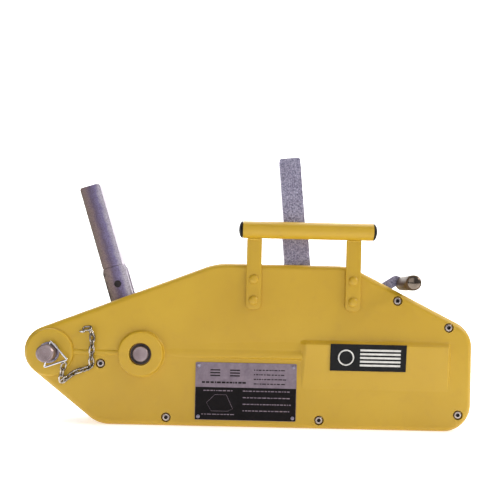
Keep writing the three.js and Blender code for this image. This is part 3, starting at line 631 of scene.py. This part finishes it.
def worn_zinc_material():
    """Tan along the left side, violet-grey in the middle, bright and pitted at the right."""
    f = Finish("worn_zinc", metallic=0.8)
    lean = math.radians(17.3)
    across = f.node("ShaderNodeVectorMath", operation="DOT_PRODUCT")
    across.inputs[1].default_value = (math.cos(lean), 0, math.sin(lean))
    f.link(f.coords, across.inputs[0])
    axis = (hub_x * math.cos(lean) + hub_z * math.sin(lean)) * MM
    spread = f.node("ShaderNodeMapRange")
    spread.inputs["From Min"].default_value = axis - 0.0235
    spread.inputs["From Max"].default_value = axis + 0.006
    f.link(across.outputs["Value"], spread.inputs["Value"])
    mixed = f.node("ShaderNodeMath", operation="MULTIPLY_ADD")
    f.link(f.noise(90, 5, 0.7), mixed.inputs[0])
    mixed.inputs[1].default_value = 0.34
    f.link(spread.outputs["Result"], mixed.inputs[2])
    f.base(mixed.outputs["Value"], [(0.14, linear((52, 44, 44))), (0.26, linear((134, 118, 108))),
                                    (0.44, linear((142, 122, 122))), (0.62, linear((112, 100, 124))),
                                    (0.84, linear((138, 128, 166))), (1.0, linear((198, 190, 204)))])
    pits = f.ramp(f.noise(700, 4, 0.7), [(0.4, (0.45, 0.45, 0.45, 1)), (0.55, (0, 0, 0, 1))])
    f.overlay(pits, linear((78, 66, 76)))
    f.rough(f.noise(240, 5), 0.3, 0.6)
    f.relief(f.noise(260, 5, 0.65), 0.6, 0.0006)
    return f.done()


def steel_material():
    f = Finish("machined_steel", metallic=0.95)
    f.base(f.noise(60, 4), [(0.3, linear((128, 112, 116))), (0.7, linear((166, 150, 152)))])
    f.rough(f.noise(500, 4, 0.5, (1, 0.1, 1)), 0.26, 0.48)
    f.relief(f.noise(900, 2, 0.5, (1, 0.05, 1)), 0.2, 0.0002)
    # Lighter edges: partly painted edge highlight, partly wear.
    f.overlay(f.edges(0.0006, 0.03, 0.3), linear((205, 196, 196)))
    return f.done()


def dark_steel_material():
    f = Finish("blackened_steel", metallic=0.8)
    f.base(f.noise(150, 4), [(0.3, linear((34, 30, 32))), (0.7, linear((62, 56, 58)))])
    # Lighter edges: partly painted edge highlight, partly wear.
    f.overlay(f.edges(0.0005, 0.03, 0.3, 900), linear((150, 140, 138)))
    f.rough(f.noise(300, 3), 0.35, 0.55)
    f.relief(f.noise(800, 2), 0.15, 0.0002)
    return f.done()


def screw_material():
    f = Finish("plated_screw", metallic=0.92)
    f.base(f.noise(300, 4), [(0.3, linear((150, 138, 134))), (0.7, linear((196, 186, 182)))])
    f.rough(f.noise(500, 3), 0.25, 0.42)
    f.relief(f.noise(1200, 2), 0.1, 0.0001)
    return f.done()


def chrome_material():
    f = Finish("bright_chrome", metallic=1.0)
    f.base(f.noise(90, 4), [(0.3, linear((196, 196, 200))), (0.7, linear((226, 226, 230)))])
    f.rough(f.noise(260, 5, 0.6), 0.07, 0.2)
    f.relief(f.noise(120, 3), 0.05, 0.0004)
    return f.done()


def polished_material():
    # Chrome whose colour is darkened as painted dark reflection; the lighter edges are partly painted
    # highlight, partly wear.
    f = Finish("polished_steel", metallic=1.0)
    f.base(f.noise(90, 4), [(0.3, linear((104, 92, 84))), (0.7, linear((132, 120, 108)))])
    f.overlay(f.edges(0.0008, 0.03, 0.3, 700), linear((190, 186, 184)))
    f.rough(f.noise(260, 5, 0.6), 0.08, 0.2)
    f.relief(f.noise(120, 3), 0.05, 0.0004)
    return f.done()


def dark_reflection_material():
    # The release grip is chrome; this dull brown is its painted dark reflection.
    f = Finish("chrome_painted_dark_reflection", metallic=0.25, ior=1.25)
    f.base(f.noise(70, 4), [(0.3, linear((46, 36, 32))), (0.7, linear((112, 88, 62)))])
    f.rough(f.noise(260, 5, 0.6), 0.28, 0.5)
    f.relief(f.noise(400, 3), 0.1, 0.0002)
    return f.done()


def chain_material():
    f = Finish("chain_metal", metallic=1.0)
    f.base(f.noise(160, 4), [(0.3, linear((112, 102, 92))), (0.7, linear((206, 198, 188)))])
    f.rough(f.noise(300, 5, 0.6), 0.12, 0.3)
    f.relief(f.noise(500, 3), 0.08, 0.0002)
    return f.done()


def plastic_material():
    f = Finish("black_plastic", ior=1.25)
    f.base(f.noise(80, 4), [(0.3, linear((14, 14, 16))), (0.7, linear((26, 26, 28)))])
    # Lighter edges: partly painted edge highlight, partly wear.
    f.overlay(f.edges(0.0006, 0.03, 0.3, 900), linear((60, 60, 62)))
    f.rough(f.noise(600, 3), 0.38, 0.55)
    f.relief(f.noise(1500, 2), 0.25, 0.0001)
    return f.done()


def bronze_material():
    f = Finish("bearing_bronze", metallic=0.95)
    f.base(f.noise(120, 4), [(0.3, linear((130, 96, 52))), (0.7, linear((168, 130, 78)))])
    f.rough(f.noise(500, 3), 0.3, 0.5)
    f.relief(f.noise(900, 2), 0.15, 0.0002)
    return f.done()


def plate_material(name, dark, light, metallic, low, high, ior=1.5):
    f = Finish(name, metallic=metallic, ior=ior)
    f.base(f.noise(160, 5, 0.6), [(0.3, linear(dark)), (0.7, linear(light))])
    f.rough(f.noise(420, 4), low, high)
    f.relief(f.noise(900, 2), 0.12, 0.0001)
    return f.done()


plate_metal = plate_material("plate_metal", (112, 98, 112), (136, 122, 134), 0.3, 0.42, 0.56)
plate_black = plate_material("plate_black", (14, 11, 13), (24, 20, 23), 0.0, 0.4, 0.55, 1.2)
plate_white = plate_material("plate_white", (206, 204, 200), (226, 224, 220), 0.0, 0.4, 0.55)
paint = paint_material()
zinc = zinc_material()
worn_zinc = worn_zinc_material()
steel = steel_material()
dark_steel = dark_steel_material()
screw_steel = screw_material()
chrome = chrome_material()
plastic = plastic_material()
polished = polished_material()
painted_dark_reflection = dark_reflection_material()
chain_metal = chain_material()
bronze = bronze_material()


def dress(piece, material):
    piece.data.materials.clear()
    piece.data.materials.append(material)


make_cover(-1, "front_cover_casting")
make_cover(1, "rear_cover_casting")
looks = {"paint": paint, "zinc": zinc, "steel": steel, "dark_steel": dark_steel, "chrome": chrome,
         "plastic": plastic, "bronze": bronze, "label": zinc}
for row in frame["record"]["subparts"]:
    dress(frame["nodes"][row["node"]], looks[row["material_slot"]])
for name in ("front_cover_casting", "rear_cover_casting"):
    dress(bpy.data.objects[name], paint)


# ---------------------------------------------------------------- pieces
def stand_in(name, bm, body, material, nodes=(), angle=34):
    """A finished piece that rides on a body, wears a material and stands for CAD nodes."""
    piece = finish_mesh(name, bm, body, angle)
    dress(piece, material)
    if nodes:
        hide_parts(*nodes)
    return piece


def bars(rects, depth_at, lift):
    """Thin raised bars (x0, x1, z0, z1) on a face whose y at height z is depth_at(z)."""
    bm = bmesh.new()
    for x0, x1, z0, z1 in rects:
        outline = [(x0, z0), (x1, z0), (x1, z1), (x0, z1)]
        ring_loft(bm, [[(x, depth_at(z) - lift, z) for x, z in outline],
                       [(x, depth_at(z) + 0.1, z) for x, z in outline]])
    return bm


def spline(points, steps=8):
    """A smooth path through points."""
    pts = [Vector(p) for p in points]
    pts = [pts[0] * 2 - pts[1]] + pts + [pts[-1] * 2 - pts[-2]]
    path = []
    for a, b, c, d in zip(pts, pts[1:], pts[2:], pts[3:]):
        for k in range(steps):
            t = k / steps
            path.append(0.5 * (2 * b + (c - a) * t + (2 * a - 5 * b + 4 * c - d) * t * t
                               + (3 * b - a - 3 * c + d) * t ** 3))
    return path + [pts[-2]]


# ---- handle
def make_handle():
    low, high = corners_of("handle_tube")
    y, z = (low[1] + high[1]) / 2, (low[2] + high[2]) / 2
    radius, wall, rim = (high[2] - low[2]) / 2, 2.0, 0.6
    left, right = low[0], high[0]
    profile = [(radius - wall, left), (radius - rim, left), (radius, left + rim),
               (radius, right - rim), (radius - rim, right), (radius - wall, right)]
    stand_in("handle_grip_tube", lathe(profile, 0, z, 72, "X", y), "case", paint, ["handle_tube"])
    for word, end, side in (("left", left, -1), ("right", right, 1)):
        dome = [(radius * math.sin(math.radians(a)), end + side * (0.3 + 4.7 * math.cos(math.radians(a))))
                for a in range(0, 91, 10)]
        plug = radius - wall - 0.3
        dome += [(plug, end + side * 0.3), (plug, end - side * 12), (0, end - side * 12)]
        stand_in(f"handle_plug_{word}", lathe(dome, 0, z, 48, "X", y), "case", plastic,
                 [f"handle_cap_{word}"])
    for i in (1, 2):
        low, high = corners_of(f"handle_strap_{i}")
        corners = [(low[0], low[2], 6), (high[0], low[2], 6), (high[0], high[2], 0.8), (low[0], high[2], 0.8)]

        def outline(inset):
            return rounded_outline(corners, inset, 8)

        bm = prism(outline, low[1], high[1], 0.8, 3, True)
        rivets = [centre(f"strap_rivet_{2 * i - 1}"), centre(f"strap_rivet_{2 * i}")]
        bm = boolean(bm, [disc(x, rz, 3.8, -60, 0, 24) for x, _, rz in rivets], "DIFFERENCE")
        stand_in(f"handle_strap_bar_{i}", bm, "case", paint, [f"handle_strap_{i}"])
        run = [(low[0] + 0.9 + (high[0] - low[0] - 1.8) * k / 14, low[1] + 0.4 + 0.3 * math.sin(2.1 * k),
                high[2] - 0.5 + 0.3 * math.cos(1.7 * k)) for k in range(15)]
        stand_in(f"strap_weld_{i}", tube(run, 1.5, 10), "case", paint)
    for i in range(1, 5):
        low, high = corners_of(f"strap_rivet_{i}")
        x, _, rz = centre(f"strap_rivet_{i}")
        head, face = (high[0] - low[0]) / 2, low[1] + 3.0
        dome = [(head * math.sin(math.radians(a)), face - 3.0 * math.cos(math.radians(a)))
                for a in range(0, 91, 9)]
        dome += [(3.5, face), (3.5, high[1]), (0, high[1])]
        stand_in(f"strap_dome_rivet_{i}", lathe(dome, x, rz, 40), "case", paint,
                 [f"strap_rivet_{i}"])


# ---- plates
def make_nameplate():
    low, high = corners_of("nameplate")
    bm = prism(fixed(rounded_outline([(low[0], low[2], 1.5), (high[0], low[2], 1.5),
                                      (high[0], high[2], 1.5), (low[0], high[2], 1.5)], 0, 5)),
               low[1], high[1])
    rivets = [centre(f"nameplate_rivet_{i}") for i in range(1, 5)]
    bm = boolean(bm, [disc(x, z, 1.3, -60, 0, 16) for x, _, z in rivets], "DIFFERENCE")
    stand_in("data_plate", bm, "case", plate_metal, ["nameplate"])
    face, left, right, top, foot = low[1], low[0], high[0], high[2], low[2]
    split = foot + 0.57 * (top - foot)

    def flat(z):
        return face

    field = bars([(left + 0.3, right - 0.3, foot + 0.3, split)], flat, 0.04)
    stand_in("data_plate_field", field, "case", plate_black)
    dice = random.Random(5)

    def row(x0, x1, z, tall):
        """One row of dashes of uneven length that spell nothing."""
        made = []
        while x0 < x1 - 2:
            wide = min(dice.uniform(1.5, 5.0), x1 - x0)
            made.append((x0, x0 + wide, z - tall / 2, z + tall / 2))
            x0 += wide + dice.uniform(0.7, 1.3)
        return made

    dark = row(left + 8, left + 62, split + 6, 2.2)
    for k in range(4):
        dark += row(right - 52, right - 12, split + 5 + 5.6 * k, 1.3)
    for x in (left + 24, left + 48):
        for k in range(3):
            dark.append((x - 6, x + 6, split + 13.5 + 3.4 * k, split + 15.1 + 3.4 * k))
    stand_in("data_plate_marks", bars(dark, flat, 0.05), "case", plate_black)
    pale = row(left + 10, left + 48, split - 4, 1.2) + row(left + 8, left + 50, foot + 7, 1.0)
    for k in range(4):
        pale += row(left + 58, right - 6, split - 4 - 8 * k, 1.2)
    stand_in("data_plate_rows", bars(pale, flat, 0.09), "case", plate_metal)
    x0, x1, z0, z1 = left + 14, left + 46, foot + 11, split - 9
    sketch = [(x0, (z0 + z1) / 2), (x0 + 10, z1), (x1 - 8, z1), (x1, z0 + 3), (x1 - 6, z0), (x0 + 6, z0)]
    line = [(x, face - 0.02, z) for x, z in sketch]
    stand_in("data_plate_sketch", tube(line, 0.22, 6, closed=True), "case", plate_metal)
    for i, (x, _, z) in enumerate(rivets):
        back = corners_of(f"nameplate_rivet_{i + 1}")[1][1]
        dome = [(2.3 * math.sin(math.radians(a)), face - 0.2 - 1.1 * math.cos(math.radians(a)))
                for a in range(0, 91, 15)] + [(1, face - 0.2), (1, back), (0, back)]
        stand_in(f"plate_rivet_{i + 1}", lathe(dome, x, z, 24), "case", zinc,
                 [f"nameplate_rivet_{i + 1}"])


def make_badge():
    """A plain device on the badge: a ring beside level stripes."""
    low, high = corners_of("badge_plate")
    tilt = PANEL["proud"] / (PANEL["crest"] - PANEL["foot"])
    middle = (low[2] + high[2]) / 2

    def depth_at(z):
        return low[1] + 0.02 + (high[2] - z) * tilt

    stripes = [(low[0] + 36, high[0] - 7, middle + 4.6 * k - 1.2, middle + 4.6 * k + 1.2)
               for k in range(-2, 3)]
    stand_in("badge_stripes", bars(stripes, depth_at, 0.06), "case", plate_white)
    centre_x = low[0] + 19
    turns = [2 * math.pi * k / 48 for k in range(48)]
    ring = [(centre_x + 9 * math.cos(a), depth_at(middle + 9 * math.sin(a)), middle + 9 * math.sin(a))
            for a in turns]
    stand_in("badge_ring", tube(ring, 0.9, 8, closed=True), "case", plate_white)


# ---- anchor pin, clip and chain
def make_anchor():
    low, high = corners_of("anchor_pin")
    radius, head_radius = 10.5, (high[0] - low[0]) / 2
    face = low[1]
    rings = []
    for r in (2.2, 4.6, 7.0):
        rings += [(r - 0.35, face), (r, face + 0.25), (r + 0.35, face)]
    head = high[1] - 5.5
    profile = [(0, face)] + rings + [(radius - 1.2, face), (radius, face + 1.2), (radius, head),
                                     (head_radius, head), (head_radius, head + 4),
                                     (head_radius - 1.5, head + 5.5), (0, head + 5.5)]
    cross_hole = tube([on_clip_axis(-20), on_clip_axis(20)], CLIP_WIRE + 0.4, 20)
    bolt = boolean(lathe(profile, pin_x, pin_z, 72), [cross_hole], "DIFFERENCE")
    stand_in("anchor_bolt", bolt, "case", steel, ["anchor_pin"], 28)
    low, high = corners_of("anchor_washer")
    outer = (high[0] - low[0]) / 2
    profile = [(radius + 0.3, low[1]), (outer - 0.5, low[1]), (outer, low[1] + 0.5), (outer, high[1]),
               (radius + 0.3, high[1])]
    stand_in("anchor_flat_washer", lathe(profile, pin_x, pin_z, 64), "case", zinc,
             ["anchor_washer"], 28)


CLIP_LEAN = math.radians(78.5)
CLIP_WIRE = 1.2
CLIP_Y = -42.6
CLIP_APEX = (-215.2, 79.7)
CHAIN_HANG = [(-196.8, -36.0, 115.7), (-193.2, -36.0, 117.4), (-188.2, -36.0, 111.1), (-187.4, -37.2, 97.8),
              (-188.1, -37.4, 83.5), (-188.4, -36.2, 72.9), (-195.6, -36.0, 68.1), (-206.4, -36.0, 64.5),
              (-215.4, -36.0, 58.6), (-223.4, -36.6, 52.2)]
CHAIN_RISE = [(-223.4, -36.6, 52.2), (-223.0, -38.6, 61.6), (-220.8, -40.4, 70.2), (-219.0, -41.6, 75.1)]


def on_clip_axis(along):
    """A point on the axis of the hole through the pin."""
    return Vector((pin_x + math.cos(CLIP_LEAN) * along, CLIP_Y, pin_z + math.sin(CLIP_LEAN) * along))


def make_clip():
    apex = Vector((CLIP_APEX[0], CLIP_Y, CLIP_APEX[1]))
    legs = [on_clip_axis(6), on_clip_axis(14.8), apex, on_clip_axis(-18), on_clip_axis(-6)]
    path = [legs[0]]
    for before, corner, after in zip(legs, legs[1:], legs[2:]):
        start = corner + (before - corner).normalized() * 2.6
        end = corner + (after - corner).normalized() * 2.6
        steps = [k / 6 for k in range(7)]
        path += [start * (1 - t) ** 2 + corner * 2 * t * (1 - t) + end * t * t for t in steps]
    path.append(legs[-1])
    stand_in("wire_clip", tube(path, CLIP_WIRE, 14), "pin_clip", chrome, ["pin_clip"], 50)


def links(route, first):
    """Interlocked oval links along a route, each turned a quarter from the last."""
    path = spline(route)
    wire, half_long, half_wide, pitch = 1.2, 5.0, 3.0, 6.8
    reach = [0.0]
    for a, b in zip(path, path[1:]):
        reach.append(reach[-1] + (b - a).length)
    count = int(reach[-1] / pitch)
    parts = []
    for i in range(count):
        want = (i + 0.5) * reach[-1] / count
        j = max(k for k in range(len(reach) - 1) if reach[k] <= want)
        t = (want - reach[j]) / (reach[j + 1] - reach[j])
        middle = path[j].lerp(path[j + 1], t)
        along = (path[j + 1] - path[j]).normalized()
        across = along.cross(Vector((0, 1, 0))).normalized()
        out = along.cross(across)
        turn = math.radians(45 if (i + first) % 2 else -45)
        side = across * math.cos(turn) + out * math.sin(turn)
        oval = []
        for k in range(20):
            a = 2 * math.pi * k / 20
            straight = (half_long - half_wide) * (1 if math.cos(a) > 0 else -1)
            ahead = along * (straight + half_wide * math.cos(a))
            oval.append(middle + ahead + side * half_wide * math.sin(a))
        parts.append(tube(oval, wire, 7, closed=True))
    return merge(*parts), reach[-1], count


def make_chain():
    hang, hang_length, hang_count = links(CHAIN_HANG, 0)
    stand_in("chain_from_case", hang, "case", chain_metal, ["tether_chain"], 60)
    rise, rise_length, _ = links(CHAIN_RISE, hang_count)
    piece = finish_mesh("chain_to_clip", rise, None, 60)
    dress(piece, chain_metal)
    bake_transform(piece)
    print(f"chain length {hang_length + rise_length:.1f} mm")
    x, _, z = centre("chain_staple")
    low, high = corners_of("chain_staple")
    half, wire = 2.9, 1.3
    crown = low[1] + wire + half
    path = [Vector((x - half, high[1], z)), Vector((x - half, crown + 1, z))]
    path += [Vector((x - half * math.cos(math.radians(a)), crown - half * math.sin(math.radians(a)), z))
             for a in range(0, 181, 15)]
    path += [Vector((x + half, crown + 1, z)), Vector((x + half, high[1], z))]
    stand_in("chain_stud", tube(path, wire, 14), "case", chrome, ["chain_staple"], 50)


# ---- hub, screws, grip and rope guide
def make_hub():
    for word, side in (("front", -1), ("rear", 1)):
        low, high = corners_of(f"{word}_shaft_bush")
        near, far = sorted((low[1], high[1]))
        outer = (high[0] - low[0]) / 2
        profile = [(9.8, near), (outer - 0.4, near), (outer, near + 0.4),
                   (outer, far - 0.4), (outer - 0.4, far), (9.8, far)]
        stand_in(f"{word}_bearing_bush", lathe(profile, hub_x, hub_z, 64), "case", bronze,
                 [f"{word}_shaft_bush"])
    end = 40.2
    rings = []
    for r in (3.0, 5.6):
        rings += [(r - 0.3, end + 0.02), (r, end - 0.2), (r + 0.3, end + 0.02)]
    for word, side in (("front", -1), ("rear", 1)):
        profile = [(0, end + 0.02)] + rings
        profile += [(8.7, end + 0.02), (9.52, end - 0.8), (9.52, end - 1.4), (0, end - 1.4)]
        profile = [(r, side * y) for r, y in profile]
        stand_in(f"{word}_shaft_face", lathe(profile, hub_x, hub_z, 64), "forward_lever", steel,
                 (), 28)


def make_screws():
    for i, (x, _, z) in enumerate(screws):
        low, high = corners_of(f"cover_screw_{i + 1}")
        top, head = low[1], 4.25
        base = top + 4.8
        profile = [(0, top), (head - 0.5, top)] + arc_points(head - 0.5, top + 0.5, 0.5, -90, 0, 4)[1:]
        profile += [(head, base), (2.5, base), (2.5, high[1]), (0, high[1])]
        socket = lathe([(0, top - 1), (2.6, top - 1), (2.6, top + 3), (0, top + 3)], x, z, 6)
        bm = boolean(lathe(profile, x, z, 40), [socket], "DIFFERENCE")
        piece = stand_in(f"socket_screw_{i + 1}", bm, "case", screw_steel,
                         [f"cover_screw_{i + 1}"])
        # The socket's inner walls and floor wear blackened steel as painted shade of the deep recess.
        piece.data.materials.append(dark_steel)
        for face in piece.data.polygons:
            offset = Vector((face.center.x / MM - x, face.center.z / MM - z)).length
            if offset < 2.9 and face.center.y / MM > top + 0.2:
                face.material_index = 1


def make_release_grip():
    low, high = corners_of("release_grip")
    x, _, z = centre("release_grip")
    tip, foot, back = low[1], -19.3, high[1]
    radius, neck = (high[0] - low[0]) / 2, 8.8
    profile = [(radius * math.sin(math.radians(a)), tip + 3.5 - 3.5 * math.cos(math.radians(a)))
               for a in range(0, 91, 9)]
    profile += [(radius, tip + 16), (neck, tip + 26), (neck, foot - 3)]
    profile += [(neck - 0.3, foot - 1.4), (neck - 1.2, foot), (4, foot), (4, back), (0, back)]
    # The knob's body wears the painted dark reflection; the faces at its tip wear the darkened chrome.
    piece = stand_in("release_knob", lathe(profile, x, z, 64), "release_lever", painted_dark_reflection,
                     ["release_grip"])
    piece.data.materials.append(polished)
    for face in piece.data.polygons:
        if face.center.y / MM < tip + 1.6:
            face.material_index = 1


def make_rope_guide():
    low, high = corners_of("rope_guide")
    end, bore, radius, lip = high[0], 7.0, 13.0, 2.0
    profile = [(bore, low[0]), (radius, low[0]), (radius, 260), (15, 260), (15, case_high[0] - 6),
               (radius, case_high[0] - 6)]
    profile += arc_points(radius - lip, end - lip, lip, 0, 90)[0:] + [(bore + 1, end), (bore, end - 1)]
    stand_in("rope_inlet_bush", lathe(profile, 0, ROPE_Z, 56, "X"), "case", paint, ["rope_guide"])


make_handle()
make_nameplate()
make_badge()
make_anchor()
make_clip()
make_chain()
make_hub()
make_screws()
make_release_grip()
make_rope_guide()
ROUNDED = {"forward_lever": 1.5, "crank_arm": 1.5, "reverse_lever": 1.5, "release_arm": 0.7, "shear_pin": 0.4,
           "badge_plate": 0.15, "front_circlip": 0.15, "rear_circlip": 0.15}
for name in ("forward_lever", "crank_arm"):
    dress(frame["nodes"][name], worn_zinc)
for name, node in frame["nodes"].items():
    if not node.hide_render:
        round_edges(node, ROUNDED.get(name, 0.35), weld=True)


# ---------------------------------------------------------------- stage and light
def make_stage():
    """A pale floor that curves up into a backdrop."""
    bm = bmesh.new()
    bend, back, wide = 0.8, 1.6, 4.0
    profile = [(-3.0, 0.0), (back, 0.0)]
    profile += [(back + bend * math.sin(math.radians(a)), bend * (1 - math.cos(math.radians(a))))
                for a in range(6, 91, 6)]
    profile.append((back + bend, 4.0))
    rows = [[bm.verts.new((x, y, z)) for x in (-wide, wide)] for y, z in profile]
    for a, b in zip(rows, rows[1:]):
        bm.faces.new((a[0], a[1], b[1], b[0]))
    mesh = bpy.data.meshes.new("floor")
    bm.to_mesh(mesh)
    bm.free()
    floor = bpy.data.objects.new("floor", mesh)
    bpy.context.scene.collection.objects.link(floor)
    shade(floor, 60)
    f = Finish("pale_floor")
    f.base(f.noise(2, 2), [(0.3, (0.86, 0.86, 0.86, 1)), (0.7, (0.9, 0.9, 0.9, 1))])
    f.shader.inputs["Roughness"].default_value = 0.9
    f.shader.inputs["Emission Color"].default_value = (1, 1, 1, 1)
    f.shader.inputs["Emission Strength"].default_value = 0.55
    dress(floor, f.done())


def area_light(name, place, target, size, power, colour=(1, 1, 1)):
    data = bpy.data.lights.new(name, "AREA")
    data.shape, data.size, data.size_y = "RECTANGLE", size[0], size[1]
    data.energy, data.color = power, colour
    light = bpy.data.objects.new(name, data)
    bpy.context.scene.collection.objects.link(light)
    light.location = place
    light.rotation_euler = (Vector(target) - Vector(place)).to_track_quat("-Z", "Y").to_euler()


make_stage()
area_light("key", (3.3, -1.42, 2.1), (0, 0, 0.1), (0.68, 0.68), 33, (1.0, 0.96, 0.9))
area_light("front_fill", (-0.2, -1.9, 0.9), (0, 0, 0.1), (1.6, 1.2), 6.5)
area_light("edge_light", (2.7, -0.27, 2.2), (0, -0.035, 0.12), (0.45, 0.45), 28, (1.0, 0.97, 0.9))
area_light("top", (0.3, 0.2, 1.8), (0, 0, 0.1), (1.2, 1.0), 7)
area_light("backdrop_wash", (0, 0.9, 1.9), (0, 1.9, 0.5), (3.0, 0.6), 60)


def make_sky():
    """A sky that is bright above and to the right, and dim to the left and behind the viewer."""
    world = bpy.data.worlds.new("studio")
    world.use_nodes = True
    tree = world.node_tree
    direction = tree.nodes.new("ShaderNodeTexCoord").outputs["Generated"]
    lean = tree.nodes.new("ShaderNodeVectorMath")
    lean.operation = "DOT_PRODUCT"
    lean.inputs[1].default_value = (0.62, 0.35, 0.7)
    tree.links.new(direction, lean.inputs[0])
    spread = tree.nodes.new("ShaderNodeMapRange")
    for key, value in (("From Min", -0.5), ("From Max", 0.9), ("To Min", 0.06), ("To Max", 0.5)):
        spread.inputs[key].default_value = value
    tree.links.new(lean.outputs["Value"], spread.inputs["Value"])
    background = tree.nodes["Background"]
    background.inputs["Color"].default_value = (0.95, 0.97, 1.0, 1)
    tree.links.new(spread.outputs["Result"], background.inputs["Strength"])
    return world


world = make_sky()
bpy.context.scene.world = world
bpy.context.scene.view_settings.view_transform = "Standard"
